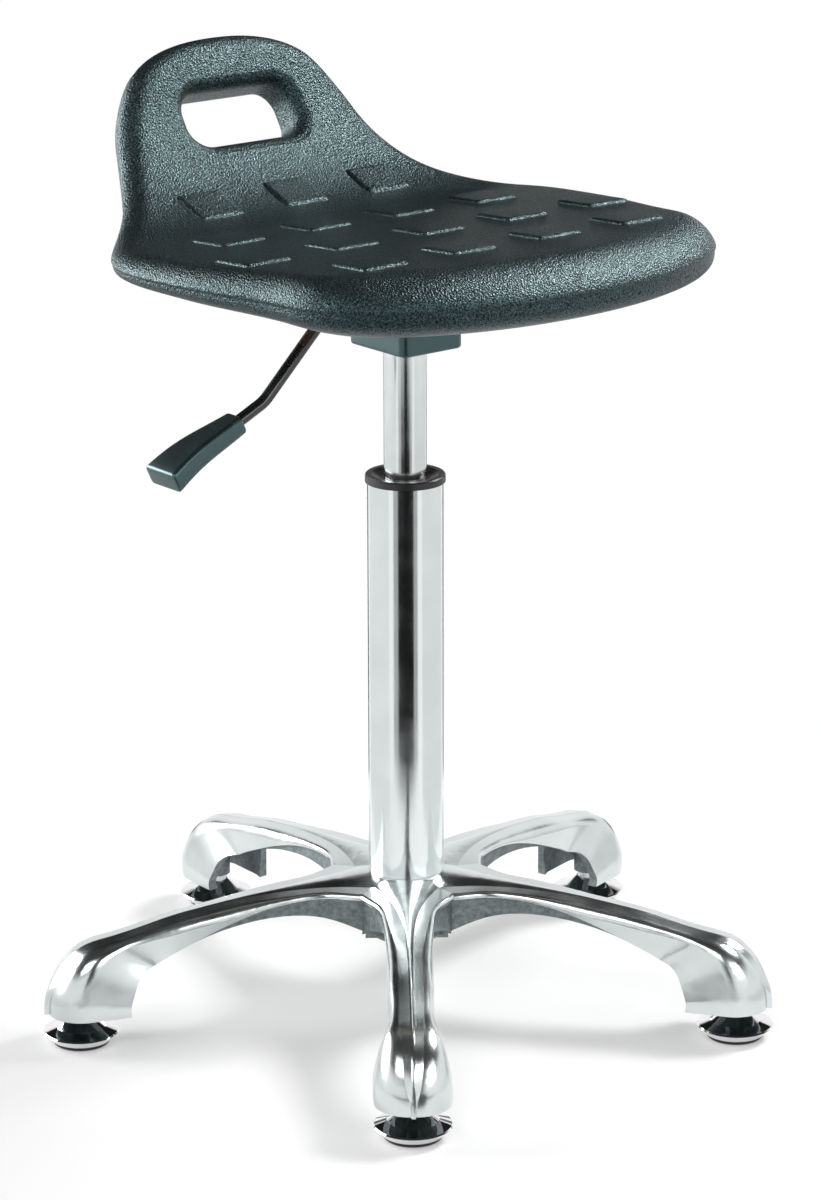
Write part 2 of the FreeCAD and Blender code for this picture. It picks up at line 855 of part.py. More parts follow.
def base_casting():
    """Five-star base: hub with a tapered bore and arms that swell into hollow foot blocks."""
    arm = Arm()
    solid = arm.solid()
    arms = []
    for angle in ARM_ANGLES:
        copy = solid.copy()
        copy.rotate(vector(0, 0, 0), vector(0, 0, 1), angle)
        arms.append(copy)
    hub_r = number("tube_d") / 2
    sleeve_r = number("hub_sleeve_d") / 2
    chamfer = number("hub_chamfer")
    foot_z = number("hub_foot_z")
    seam_z = number("seam_z")
    fillet = number("hub_fillet")
    flat_z = seam_z - fillet
    corner = [vector(hub_r, 0, seam_z), vector(hub_r + fillet * 0.25, 0, seam_z - fillet * 0.7),
              vector(hub_r + fillet, 0, flat_z)]
    edges = [
        Part.LineSegment(vector(0, 0, foot_z), vector(sleeve_r - chamfer, 0, foot_z)),
        Part.LineSegment(vector(sleeve_r - chamfer, 0, foot_z), vector(sleeve_r, 0, foot_z + chamfer)),
        Part.LineSegment(vector(sleeve_r, 0, foot_z + chamfer), vector(sleeve_r, 0, flat_z - fillet)),
        Part.LineSegment(vector(sleeve_r, 0, flat_z - fillet), vector(hub_r + fillet, 0, flat_z)),
        Part.Arc(corner[2], corner[1], corner[0]),
        Part.LineSegment(corner[0], vector(0, 0, seam_z)),
        Part.LineSegment(vector(0, 0, seam_z), vector(0, 0, foot_z)),
    ]
    face = Part.Face(Part.Wire([edge.toShape() for edge in edges]))
    hub = face.revolve(vector(0, 0, 0), vector(0, 0, 1), 360)
    step_z = seam_z + float(face_gap)
    slope = number("tube_taper") / (step_z - number("tube_foot_z"))
    high_z = step_z + fillet
    low_z = foot_z - chamfer

    def bore_r(z):
        return float(neck_r) + number("fit") - (step_z - z) * slope

    bore = Part.makeCone(bore_r(low_z), bore_r(high_z), high_z - low_z, vector(0, 0, low_z))
    casting = hub.fuse(arms).cut(bore)
    return feature("base_casting", casting)


def bolt_places():
    half_x = size("bolt_pitch_x") / 2
    half_y = size("bolt_pitch_y") / 2
    return [(half_x * i, half_y * j) for i in (-1, 1) for j in (-1, 1)]


def mounting():
    """Mounting plate, insert board, bolts and T-nuts, stacked on the plate height."""
    thickness = size("plate_thickness")
    half_depth = size("plate_depth") / 2
    plate = padded("mechanism_plate", rectangle(size("plate_w") / 2, half_depth, half_depth),
                   ZERO, thickness, size("plate_corner"))
    bolt_hole = size("bolt_d") + seat_gap * 2
    drilled(plate, "plate_holes", "XY_Plane", ZERO,
            [(x, y, bolt_hole) for x, y in bolt_places()], reverse=True)
    half_depth = size("board_depth") / 2
    board = padded("seat_insert_board", rectangle(size("board_w") / 2, half_depth, half_depth),
                   thickness, size("board_thickness"), size("board_corner"))
    nut_hole = size("nut_barrel_d") + fit * 2
    drilled(board, "board_holes", "XY_Plane", thickness,
            [(x, y, nut_hole) for x, y in bolt_places()], reverse=True)
    top_z = thickness + size("board_thickness")
    flange_hole = size("nut_flange_d") + fit * 2
    drilled(board, "flange_recesses", "XY_Plane", top_z,
            [(x, y, flange_hole) for x, y in bolt_places()], size("nut_flange"))
    bolts = []
    nuts = []
    for k, (x, y) in enumerate(bolt_places()):
        head = primitive("Part::Prism", f"bolt_head_{k}", x, y, -size("bolt_head"),
                         Circumradius=size("bolt_head_d") / 2, Height=size("bolt_head"))
        shank = primitive("Part::Cylinder", f"bolt_shank_{k}", x, y,
                          Radius=size("bolt_d") / 2, Height=size("bolt_length"))
        bolts.append(boolean("Part::Fuse", f"bolt_{k}", head, shank))
        barrel = primitive("Part::Cylinder", f"nut_barrel_{k}", x, y, thickness + fit,
                           Radius=size("nut_barrel_d") / 2, Height=size("board_thickness") - fit * 2)
        flange = primitive("Part::Cylinder", f"nut_flange_{k}", x, y, top_z - size("nut_flange"),
                           Radius=size("nut_flange_d") / 2, Height=size("nut_flange") - fit)
        eye = primitive("Part::Cylinder", f"nut_eye_{k}", x, y, ZERO,
                        Radius=size("bolt_d") / 2 + fit, Height=top_z * 2)
        nut = boolean("Part::Fuse", f"nut_blank_{k}", barrel, flange)
        nuts.append(boolean("Part::Cut", f"nut_{k}", nut, eye))
    bolt_set = doc.addObject("Part::Compound", "bolt_set")
    bolt_set.Links = bolts
    nut_set = doc.addObject("Part::Compound", "nut_set")
    nut_set.Links = nuts
    keep("mechanism_bolts", bolt_set)
    keep("t_nuts", nut_set)
    for obj in (plate, board, bolt_set, nut_set):
        place(obj, z=size("plate_z"))


def mechanism_housing():
    """Pressed box, open towards the plate, with holes for the socket, the lever and its pin."""
    half_w = size("housing_w") / 2
    front, back = size("housing_front"), size("housing_back")
    wall = size("housing_wall")
    foot_z = size("housing_foot_z")
    height = size("plate_z") - foot_z
    body = doc.addObject("PartDesign::Body", "housing_body")
    sketch = outline_sketch(body, "housing_outline", "XY_Plane", rectangle(half_w, front, back))
    lifted(sketch, foot_z)
    pad = body.newObject("PartDesign::Pad", "housing_pad")
    pad.Profile = sketch
    bind(pad, Length=height)
    doc.recompute()
    rounded = body.newObject("PartDesign::Fillet", "housing_rounding")
    rounded.Base = (pad, upright_edges(pad.Shape))
    bind(rounded, Radius=size("housing_corner"))
    doc.recompute()
    foot_edges = [f"Edge{i}" for i, edge in enumerate(rounded.Shape.Edges, start=1)
                  if edge.BoundBox.ZMax < float(foot_z) + 1e-6]
    foot = body.newObject("PartDesign::Fillet", "housing_foot_rounding")
    foot.Base = (rounded, foot_edges)
    bind(foot, Radius=wall * 0.8)
    doc.recompute()
    inner = outline_sketch(body, "housing_inside", "XY_Plane",
                           rectangle(half_w - wall, front - wall, back - wall))
    lifted(inner, foot_z + height)
    hollow = body.newObject("PartDesign::Pocket", "housing_hollow")
    hollow.Profile = inner
    bind(hollow, Length=height - wall)
    doc.recompute()
    inside_edges = [name for name in upright_edges(hollow.Shape)
                    if abs(hollow.Shape.getElement(name).CenterOfMass.x) < float(half_w - wall) + 1e-3
                    and abs(hollow.Shape.getElement(name).CenterOfMass.y) > float(back - wall) - 1e-3
                    and abs(hollow.Shape.getElement(name).CenterOfMass.x) > float(half_w - wall) - 1e-3]
    softened = body.newObject("PartDesign::Fillet", "housing_inside_rounding")
    softened.Base = (hollow, inside_edges)
    bind(softened, Radius=size("housing_corner") - wall)
    doc.recompute()
    socket_hole = cylinder_r * 2 + size("socket_wall") * 2 + fit * 2
    drilled(body, "socket_hole", "XY_Plane", foot_z + wall * 2, [(ZERO, ZERO, socket_hole)],
            wall * 3)
    lever_hole = size("lever_d") + size("housing_wall") * 2
    drilled(body, "lever_hole", "YZ_Plane", -half_w - wall,
            [(ZERO, size("lever_z"), lever_hole)], wall * 3, reverse=True)
    pin_hole = size("pivot_d") + fit * 2
    drilled(body, "pin_holes", "XZ_Plane", -back - wall,
            [(-size("pivot_x"), size("lever_z"), pin_hole)], reverse=True)
    return keep("mechanism_housing", body)


def taper_socket():
    low_z = size("housing_foot_z")
    high_z = size("cylinder_top_z") - size("housing_wall")
    cone_z = low_z - size("housing_wall")
    slope = size("cylinder_taper") / (size("cylinder_top_z") - cone_z)
    low_r = cylinder_r - slope * (low_z - cone_z) + fit
    high_r = cylinder_r - slope * (high_z - cone_z) + fit
    outer = cylinder_r + size("socket_wall")
    turned("taper_socket", [(low_r, low_z), (outer, low_z), (outer, high_z), (high_r, high_z)])
    pin = primitive("Part::Cylinder", "pivot_pin_rod", -size("pivot_x"), size("housing_back") - fit,
                    size("lever_z"), Radius=size("pivot_d") / 2,
                    Height=size("housing_front") + size("housing_back") - fit * 2)
    pin.Placement.Rotation = FreeCAD.Rotation(vector(1, 0, 0), 90)
    keep("lever_pivot_pin", pin)


def bent_path(points, radius):
    """A wire of straight runs joined by tangent arcs of one radius."""
    edges = []
    start = points[0]
    for before, here, after in zip(points, points[1:], points[2:]):
        incoming = (here - before).normalize()
        outgoing = (after - here).normalize()
        half_turn = incoming.getAngle(outgoing) / 2
        cut = radius * math.tan(half_turn)
        first, last = here - incoming * cut, here + outgoing * cut
        inward = (outgoing - incoming).normalize()
        middle = here + inward * (radius / math.cos(half_turn) - radius)
        edges.append(Part.LineSegment(start, first).toShape())
        edges.append(Part.Arc(first, middle, last).toShape())
        start = last
    edges.append(Part.LineSegment(start, points[-1]).toShape())
    return Part.Wire(edges)


def lever_points():
    slope = math.radians(number("grip_slope"))
    knee = vector(-number("lever_knee_x"), 0, number("lever_knee_z"))
    reach = number("grip_end_x") - number("grip_thickness") - number("lever_knee_x")
    return [
        vector(number("lever_inner"), 0, number("lever_z")),
        vector(-number("lever_out"), 0, number("lever_z")),
        knee,
        knee + vector(-reach, 0, -reach * math.tan(slope)),
    ]


def lever_rod():
    points = lever_points()
    path = bent_path(points, number("lever_bend_r"))
    ring_edge = Part.makeCircle(number("lever_d") / 2, points[0], vector(-1, 0, 0))
    rod = path.makePipeShell([Part.Wire(ring_edge)], True, False)
    eye = Part.makeCylinder(number("pivot_d") / 2 + number("fit"), number("lever_d") * 2,
                            vector(-number("pivot_x"), -number("lever_d"), number("lever_z")),
                            vector(0, 1, 0))
    feature("lever_rod", rod.cut(eye))


def lever_grip():
    """A paddle that widens towards its free end, bored for the rod."""
    slope = math.radians(number("grip_slope"))
    along = vector(-math.cos(slope), 0, -math.sin(slope))
    knee = lever_points()[2]
    turn = FreeCAD.Rotation(vector(0, 1, 0), vector(-math.sin(slope), 0, math.cos(slope)), along)
    start = (number("grip_start_x") - number("lever_knee_x")) / math.cos(slope)
    end = (number("grip_end_x") - number("lever_knee_x")) / math.cos(slope)
    thickness = number("grip_thickness")
    edge_r = number("grip_edge_r")
    shares = ((0.0, 0.0, 0.9), (0.3, 0.3, 0.95), (0.8, 0.86, 1.0), (1.0, 1.0, 0.98))
    wires = []
    for share, widening, depth in shares:
        half_w = (number("grip_start_w") + (number("grip_end_w") - number("grip_start_w")) * widening) / 2
        frame = FreeCAD.Placement(knee + along * (start + (end - start) * share), turn)
        wires.append(rounded_wire(frame, half_w, thickness * depth / 2, edge_r))
    paddle = Part.makeLoft(wires, True, False)
    tip = knee + along * (lever_points()[3] - knee).Length
    bore = Part.makeCylinder(number("lever_d") / 2 + number("fit"),
                             (tip - knee).Length + number("seat_gap"), knee, along)
    feature("lever_grip", paddle.cut(bore))


def eased(points, s):
    """A smooth curve through (position, value) pairs, level before the first and after the last."""
    if s <= points[0][0]:
        return points[0][1]
    if s >= points[-1][0]:
        return points[-1][1]
    slopes = [0.0]
    for (s0, v0), (s1, v1) in zip(points, points[2:]):
        slopes.append((v1 - v0) / (s1 - s0))
    slopes.append(0.0)
    k = max(i for i, (start, value) in enumerate(points) if start <= s)
    (s0, v0), (s1, v1) = points[k], points[k + 1]
    span = s1 - s0
    t = (s - s0) / span
    near = (2 * t + 1) * (1 - t) ** 2 * v0 + t * (1 - t) ** 2 * span * slopes[k]
    return near + t * t * (3 - 2 * t) * v1 - t * t * (1 - t) * span * slopes[k + 1]


def quarter_round(gap, radius):
    """Height, from 0 to 1, of a quarter circle at a distance from its start."""
    reach = min(gap / radius, 1.0)
    return math.sqrt(1 - (1 - reach) ** 2)


class Seat:
    """The form of the moulding: sections along a spine from the front edge up to the handle."""

    def __init__(self):
        self.rim_z = number("rim_z")
        self.front = number("pan_front")
        self.bend_r = number("bend_r")
        self.turn = math.radians(number("bend_angle"))
        self.run = self.front + number("bend_y")
        self.arc = self.bend_r * self.turn
        self.length = self.run + self.arc + number("handle_height")
        self.corner = number("front_corner")
        self.nose = number("front_nose")

    def spine(self, s):
        """Place of the rim at a distance s from the front: y, z and heading."""
        turn = min(max(s - self.run, 0.0) / self.bend_r, self.turn)
        y = min(s, self.run) - self.front + self.bend_r * math.sin(turn)
        z = self.rim_z + self.bend_r * (1 - math.cos(turn))
        rest = max(s - self.run - self.arc, 0.0)
        return y + rest * math.cos(turn), z + rest * math.sin(turn), turn

    def frame(self, s, lift=0.0):
        """A placement on the spine: x across the seat, y along it, z out of the sitting face."""
        y, z, turn = self.spine(s)
        spot = vector(0, y - lift * math.sin(turn), z + lift * math.cos(turn))
        return FreeCAD.Placement(spot, FreeCAD.Rotation(vector(1, 0, 0), math.degrees(turn)))

    def rise(self, s):
        """Full height of the sitting face over the rim."""
        slope = math.tan(math.radians(number("sit_slope")))
        pan = number("sit_z") - self.rim_z - slope * (min(s, self.run) - self.front)
        return eased([(self.run - self.nose, pan), (self.run + self.arc, number("handle_front"))], s)

    def depth(self, s):
        """Full depth of the underside below the rim."""
        return eased([(self.nose, number("front_depth")), (self.front, number("pan_depth")),
                      (self.run, number("pan_depth")),
                      (self.run + self.arc, number("handle_back"))], s)

    def edge_round(self, s):
        return eased([(self.run - self.nose, number("edge_round")),
                      (self.run + self.arc, number("handle_round"))], s)

    def taper(self, s):
        """How far the underside is drawn in from the rim."""
        return eased([(self.nose, number("front_taper")), (self.corner, number("corner_taper")),
                      (self.front, number("side_taper")), (self.run, number("side_taper")),
                      (self.run + self.arc, number("handle_taper"))], s)

    def half_width(self, s):
        """Half width of the rim, drawn in to both rounded ends."""
        half = eased([(self.corner, number("front_half_w")), (self.front, number("pan_half_w")),
                      (self.run, number("back_half_w")),
                      (self.run + self.arc / 2, number("bend_half_w")),
                      (self.run + self.arc, number("handle_foot_half_w")),
                      (self.length, number("handle_half_w"))], s)
        return (half * quarter_round(s, self.corner)
                * quarter_round(self.length - s, number("handle_corner")) ** 0.87)

    def section(self, s):
        """A closed section of lines and arcs: sitting face, rolled edge, rim and drawn-in underside."""
        half = self.half_width(s)
        upper = quarter_round(s, self.nose) * quarter_round(self.length - s, number("handle_round"))
        lower = quarter_round(s, self.nose) * quarter_round(self.length - s, number("handle_taper"))
        inward = min(s / self.nose, (self.length - s) / number("handle_round"), 1.0)
        bow = 1 - inward * inward
        dome = bow * number("end_dome")
        rise, depth = self.rise(s) * upper, self.depth(s) * lower
        crown = number("sit_crown") + rise * dome
        roll = self.edge_round(s) * upper * (1 - bow) + half * 0.6 * bow
        taper = min(self.taper(s) * lower, half * 0.9) * (1 - bow) + half * 0.6 * bow
        frame = self.frame(s)

        def flank(sign, inset, height):
            """Rim, middle and inner end of an arc that runs level into the face."""
            radius = (inset * inset + height * height) / (2 * abs(height))
            half_turn = math.atan2(inset, radius - abs(height)) / 2
            across = half - inset + radius * math.sin(half_turn)
            up = height - math.copysign(radius * (1 - math.cos(half_turn)), height)
            spots = [(half, 0.0), (across, up), (half - inset, height)]
            return [frame.multVec(vector(sign * x, 0, z)) for x, z in spots]

        shoulder, sole = rise * (1 - dome), -depth * (1 - dome)
        high, high_left = flank(1, roll, shoulder), flank(-1, roll, shoulder)
        low, low_left = flank(1, taper, sole), flank(-1, taper, sole)
        peak = frame.multVec(vector(0, 0, shoulder + crown))
        belly = frame.multVec(vector(0, 0, sole - depth * dome - number("seat_gap")))
        edges = [
            Part.Arc(high[0], high[1], high[2]),
            Part.Arc(high[2], peak, high_left[2]),
            Part.Arc(high_left[2], high_left[1], high_left[0]),
            Part.Arc(low_left[0], low_left[1], low_left[2]),
            Part.Arc(low_left[2], belly, low[2]),
            Part.Arc(low[2], low[1], low[0]),
        ]
        return Part.Wire([edge.toShape() for edge in edges])

    def stations(self):
        """Distances along the spine, close together round the front and the top."""
        front = [self.corner * share for share in (0.004, 0.025, 0.08, 0.19, 0.36, 0.62, 1.0)]
        middle = [self.corner + (self.run - self.corner) * share for share in (0.3, 0.55, 0.8, 1.0)]
        bend = [self.run + self.arc * share for share in (0.2, 0.4, 0.6, 0.8, 1.0)]
        top = number("handle_round")
        back = [self.length - top * share for share in (1.6, 1.0, 0.55, 0.25, 0.08, 0.012)]
        return front + middle + bend + back

    def stadium(self, s, lift, grow):
        """An oblong ring round the grip hole at a height over the middle surface."""
        half_h = number("hole_h") / 2 + grow
        half_w = number("hole_w") / 2 + grow
        return rounded_wire(self.frame(s, lift), half_w, half_h, half_h * 0.8)

    def grip_hole(self):
        """The hand hole: a straight throat with a rounded mouth on each face."""
        s = self.length - number("hole_drop")
        rim = number("hole_rim_r")
        front, back = number("handle_front"), -number("handle_back")
        throat = Part.makeLoft([self.stadium(s, back + rim, 0), self.stadium(s, front - rim, 0)],
                               True, True)
        tools = []
        for face, side in ((front, 1), (back, -1)):
            wires = []
            for share in (0.0, 0.4, 0.75, 1.0, 1.4):
                grow = rim * (1 - math.sqrt(1 - min(share, 0.98) ** 2)) + rim * max(share - 0.98, 0.0)
                wires.append(self.stadium(s, face + side * rim * (share - 1), grow))
            tools.append(Part.makeLoft(wires, True, False))
        return throat.fuse(tools)

    def raised_pads(self):
        """Low bevelled squares in four staggered rows over the sitting face."""
        pads = []
        pitch = number("pad_pitch")
        half = number("pad_side") / 2
        bevel = number("pad_bevel")
        rise = number("pad_rise")
        for row, count in enumerate((4, 5, 4, 3)):
            s = self.front + number("pad_first_row_y") + number("pad_row_pitch") * row
            before, after = self.surface(s - half), self.surface(s + half)
            along = after - before
            tilt = FreeCAD.Rotation(vector(1, 0, 0), math.degrees(math.atan2(along.z, along.y)))
            for k in range(count):
                centre = (before + after) / 2 + vector((k - (count - 1) / 2) * pitch, 0, 0)
                frame = FreeCAD.Placement(centre, tilt)
                wires = []
                for step in (-1, 1):
                    side = half - step * bevel / 2
                    corners = [vector(-side, -side, step * rise), vector(side, -side, step * rise),
                               vector(side, side, step * rise), vector(-side, side, step * rise)]
                    wires.append(polygon([frame.multVec(corner) for corner in corners]))
                pads.append(Part.makeLoft(wires, True, True))
        return pads

    def surface(self, s):
        """A point of the sitting face on the middle line."""
        return self.frame(s, self.rise(s)).Base

    def pocket(self):
        """The recess under the pan that holds the insert board and the mounting plate."""
        gap = number("seat_gap")
        ceiling = number("plate_z") + number("plate_thickness") + number("board_thickness") + gap
        depth = number("front_depth") * 2
        frame = FreeCAD.Placement(vector(0, 0, ceiling - depth), FreeCAD.Rotation())
        outline = rounded_wire(frame, number("board_w") / 2 + gap, number("board_depth") / 2 + gap,
                               number("board_corner"))
        return Part.Face(outline).extrude(vector(0, 0, depth))

    def solid(self):
        body = Part.makeLoft([self.section(s) for s in self.stations()], True, False)
        body = body.cut([self.pocket(), self.grip_hole()])
        return body.fuse(self.raised_pads())


outer_tube()
column_collar()
guide_bush()
thrust_bearing()
piston_rod()
retaining_clip()
piston_and_bumper()
gas_cylinder()
for k, angle in enumerate(ARM_ANGLES, start=1):
    glide(k, angle)
base_casting()
mounting()
mechanism_housing()
taper_socket()
lever_rod()
lever_grip()
feature("seat_moulding", Seat().solid())

doc.recompute()
for obj in doc.Objects:
    if "Invalid" in obj.State or "Error" in obj.State:
        raise ValueError(f"{obj.Name} failed: {obj.State}")
for obj in nodes:
    if obj.Shape.isNull() or not obj.Shape.isValid():
        raise ValueError(f"{obj.Label} has no valid shape")
    if not obj.Shape.Solids:
        raise ValueError(f"{obj.Label} has no solid")

os.makedirs("parts", exist_ok=True)
for obj in nodes:
    obj.Shape.exportStep(f"parts/{obj.Label}.step")
    print(obj.Label, len(obj.Shape.Solids), round(obj.Shape.Volume, 1))
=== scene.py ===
import math

import bmesh
import bpy
from mathutils import Matrix, Vector

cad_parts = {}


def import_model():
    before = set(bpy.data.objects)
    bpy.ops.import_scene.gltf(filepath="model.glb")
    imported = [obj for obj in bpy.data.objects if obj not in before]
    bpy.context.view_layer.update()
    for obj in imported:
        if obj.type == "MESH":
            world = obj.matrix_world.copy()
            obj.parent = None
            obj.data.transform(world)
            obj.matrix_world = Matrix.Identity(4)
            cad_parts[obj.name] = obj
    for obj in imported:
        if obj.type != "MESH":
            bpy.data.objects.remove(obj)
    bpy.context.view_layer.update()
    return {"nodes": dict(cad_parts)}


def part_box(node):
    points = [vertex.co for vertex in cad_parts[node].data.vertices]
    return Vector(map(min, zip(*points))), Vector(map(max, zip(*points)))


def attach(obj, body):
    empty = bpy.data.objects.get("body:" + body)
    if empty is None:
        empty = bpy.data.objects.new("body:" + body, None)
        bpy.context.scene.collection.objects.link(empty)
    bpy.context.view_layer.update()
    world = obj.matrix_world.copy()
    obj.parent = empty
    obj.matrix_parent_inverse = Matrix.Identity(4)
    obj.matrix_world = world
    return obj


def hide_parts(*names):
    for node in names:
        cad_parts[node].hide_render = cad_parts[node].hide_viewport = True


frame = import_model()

MM = 0.001

# Seat form in millimetres and degrees, the same law as the moulding's solid. Places along the
# seat are measured on the rim line, from the front edge over the bend to the handle's top.
RIM_Z = 509.0
SIT_Z = 526.3
SIT_SLOPE = 3.6
SIT_CROWN = 0.8
CROWN_END_POWER = 8
PAN_FRONT = 185.0
BEND_Y = 75.0
BEND_R = 126.0
BEND_TURN = math.radians(64.7)
HANDLE_HEIGHT = 43.0
FRONT_CORNER = 94.0
HANDLE_CORNER = 61.0
HANDLE_CORNER_POWER = 0.87
NOSE = 34.0
NOSE_END = 30.0
EDGE_ROUND = 20.0
HANDLE_ROUND = 17.0
HANDLE_FRONT = 15.0
HANDLE_BACK = 16.0
RUN = PAN_FRONT + BEND_Y
ARC = BEND_R * BEND_TURN
LENGTH = RUN + ARC + HANDLE_HEIGHT
PARTING_TURN = math.radians(15)
PARTING_STEP = 1.4
PARTING_DROP = 0.4

# The same form as (place, value) pairs along the rim line.
HALF_WIDTHS = [(FRONT_CORNER, 166.0), (PAN_FRONT, 180.0), (RUN, 175.0), (RUN + ARC / 2, 120.0),
               (RUN + ARC, 92.0), (LENGTH, 98.0)]
ROLLS = [(NOSE_END, NOSE), (FRONT_CORNER, EDGE_ROUND), (RUN - NOSE, EDGE_ROUND),
         (RUN + ARC, HANDLE_ROUND)]
TAPERS = [(NOSE, 38.0), (FRONT_CORNER, 46.0), (PAN_FRONT, 40.0), (RUN, 40.0), (RUN + ARC, 18.0)]
DEPTHS = [(NOSE, 15.0), (PAN_FRONT, 10.0), (RUN, 10.0), (RUN + ARC, HANDLE_BACK)]

# Seat mesh: intervals across and along each skin, rings of the roll above and the tuck below.
SEAT_ACROSS = 28
SEAT_ALONG = 40
ROLL_RINGS = 7
TUCK_RINGS = 5
END_TURN = math.radians(48)
SIDE_STEPS = 400
EVENING_ROUNDS = 6
SHARP_ANGLE = math.radians(38)

# Grip hole in millimetres and degrees.
HOLE_S = LENGTH - 58.0
HOLE_HALF_W = 44.0
HOLE_HALF_H = 19.0
HOLE_CORNER_SHARE = 0.8
HOLE_CORNER_STEPS = 8
HOLE_RIM = 10.0
HOLE_PROUD = 3.0
HOLE_FLARE = 1.0
HOLE_CROWN_SHARE = 0.85
MOUTH_START = 9
MOUTH_STEPS = 9
LEVEL_ROUNDS = 12
LEVEL_STEP = 0.8

# Raised pads in millimetres; the profile is (height over the sitting face, inset) pairs.
PAD_SIDE = 35.0
PAD_PITCH = 69.0
PAD_ROW_PITCH = 71.5
PAD_FIRST_S = PAN_FRONT - 95.0
PAD_ROWS = (4, 5, 4, 3)
PAD_PROFILE = [(-2.5, 0.0), (-0.4, 0.0), (0.1, 0.15), (0.8, 0.7), (1.35, 1.5), (1.7, 2.4), (1.8, 3.4)]
PAD_CORNER = 3.2
PAD_CORNER_LEAST = 1.2
PAD_CORNER_SHRINK = 0.5
PAD_CORNER_STEPS = 4

# Recess for the insert board in millimetres.
RECESS_MARGIN = 0.3
RECESS_BELOW = 30.0
RECESS_CORNER = 25.0
RECESS_CORNER_STEPS = 6

# The lever's grip in millimetres and degrees.
LEVER_KNEE_X = 113.5
LEVER_KNEE_Z = 430.4
GRIP_SLOPE = math.radians(25.0)
GRIP_START_X = 134.0
GRIP_END_X = 192.5
GRIP_START_W = 15.0
GRIP_END_W = 31.0
GRIP_WAIST = 0.06
GRIP_THICKNESS = 14.0
GRIP_THINNEST = 0.9
GRIP_BOW = 2.4
GRIP_BOW_POWER = 1.4
GRIP_CORNER = 3.0
GRIP_CORNER_SHRINK = 0.7
GRIP_CORNER_STEPS = 4
GRIP_ROUND = 2.0
GRIP_ROUND_STEPS = 5
GRIP_STEPS = 14

# Arms of the base in millimetres and degrees, for the line between polished faces and the rough unpolished
# faces, which are also painted darker as shade.
ARM_FIRST = -56.05
ARM_PITCH = 72.0
ARM_ROOT_R = 45.0
ARM_KNEE_R = 203.0
ARM_HEEL_R = 179.0
ARM_ROOT_Z = 89.6
ARM_DROP = 19.0
ARM_LIP_R = 85.5
ARM_LIP = 4.0
ARM_FULL = 24.4
ARM_FULL_POWER = 1.4
LIP_LINE = (0.1, 0.5)
FACING_DOWN = -0.45
FACING_INWARD = -0.3

# Colours and finishes. A noise texture's values lie mostly between the two of NOISE_SPAN.
WHITE = (1.0, 1.0, 1.0, 1.0)
BLACK = (0.0, 0.0, 0.0, 1.0)
FLOOR_TONE = (0.97, 0.97, 0.97, 1.0)
NEUTRAL = (1.0, 1.0, 1.0)
TEAL = (0.56, 0.92, 0.97)
NOISE_SPAN = (0.3, 0.7)
SKIN_TONES = ((0.002, 0.003, 0.0035), (0.009, 0.013, 0.014))
SKIN_ROUGHNESS = (0.30, 0.42)
SKIN_GLOSS = (0.12, 1.25)
SKIN_SPECK_SPAN = (0.36, 0.64)
POLISHED_TONES = ((0.63, 0.67, 0.67), (0.71, 0.75, 0.75))
POLISHED_ROUGHNESS = (0.17, 0.25)
# Tones of the unpolished faces, darker than bare rough aluminium: painted shade under and inside the arms.
CAST_AND_SHADE_TONES = ((0.11, 0.135, 0.138), (0.28, 0.32, 0.325))
CAST_EXTRA_ROUGHNESS = 0.36
BLACK_TONES = ((0.007, 0.010, 0.010), (0.012, 0.016, 0.016))

# The studio in metres and degrees: what reflections see overhead, the fill, the floor and the
# camera. Lamps and cards are placed from FRONT_TURN, the camera's side in whole degrees.
CEILING_START = 0.34
CEILING_END = 0.60
CEILING_LEVEL = 0.03
FILL_LEVEL = 0.30
FLAG_LEVEL = 0.01
FLOOR_SIZE = 14.0
FLOOR_Z = -0.0006
SHADOW_REACH = (0.28, 0.75)
SHADOW_GLOW = 0.35
FRONT_TURN = -39
CAMERA_PLACE = (-1.6575, -2.0468, 1.0868)
CAMERA_TURN = math.radians(-39.07)
CAMERA_TILT = math.radians(72.94)
CAMERA_ROLL = -0.0025
CAMERA_LENS = 126.8
CAMERA_SENSOR = 36.0


def eased(points, s):
    """A smooth curve through (place, value) pairs, level before the first and after the last."""
    if s <= points[0][0]:
        return points[0][1]
    if s >= points[-1][0]:
        return points[-1][1]
    slopes = [0.0]
    for (s0, v0), (s1, v1) in zip(points, points[2:]):
        slopes.append((v1 - v0) / (s1 - s0))
    slopes.append(0.0)
    k = max(i for i, (start, value) in enumerate(points) if start <= s)
    (s0, v0), (s1, v1) = points[k], points[k + 1]
    span = s1 - s0
    t = (s - s0) / span
    near = (2 * t + 1) * (1 - t) ** 2 * v0 + t * (1 - t) ** 2 * span * slopes[k]
    return near + t * t * (3 - 2 * t) * v1 - t * t * (1 - t) * span * slopes[k + 1]


def quarter_round(gap, radius):
    reach = min(max(gap, 0.0) / radius, 1.0)
    return math.sqrt(1 - (1 - reach) ** 2)


def half_width(s):
    return (eased(HALF_WIDTHS, s) * quarter_round(s, FRONT_CORNER)
            * quarter_round(LENGTH - s, HANDLE_CORNER) ** HANDLE_CORNER_POWER)


def rise(s):
    """Height of the sitting face over the rim line, without its crown."""
    pan = SIT_Z - RIM_Z - math.tan(math.radians(SIT_SLOPE)) * (min(s, RUN) - PAN_FRONT)
    return eased([(RUN - NOSE, pan), (RUN + ARC, HANDLE_FRONT)], s)


def skin_level(s, side):
    """Height of the upper (side 1) or lower (-1) skin over the rim line, without its crown."""
    return rise(s) if side > 0 else -eased(DEPTHS, s)


def on_seat(x, s, lift):
    """A point of the seat in metres: x across, s along the rim line, lift out of it."""
    turn = min(max(s - RUN, 0.0) / BEND_R, BEND_TURN)
    rest = max(s - RUN - ARC, 0.0)
    y = min(s, RUN) - PAN_FRONT + BEND_R * math.sin(turn) + rest * math.cos(turn)
    z = RIM_Z + BEND_R * (1 - math.cos(turn)) + rest * math.sin(turn)
    return Vector((x, y - lift * math.sin(turn), z + lift * math.cos(turn))) * MM


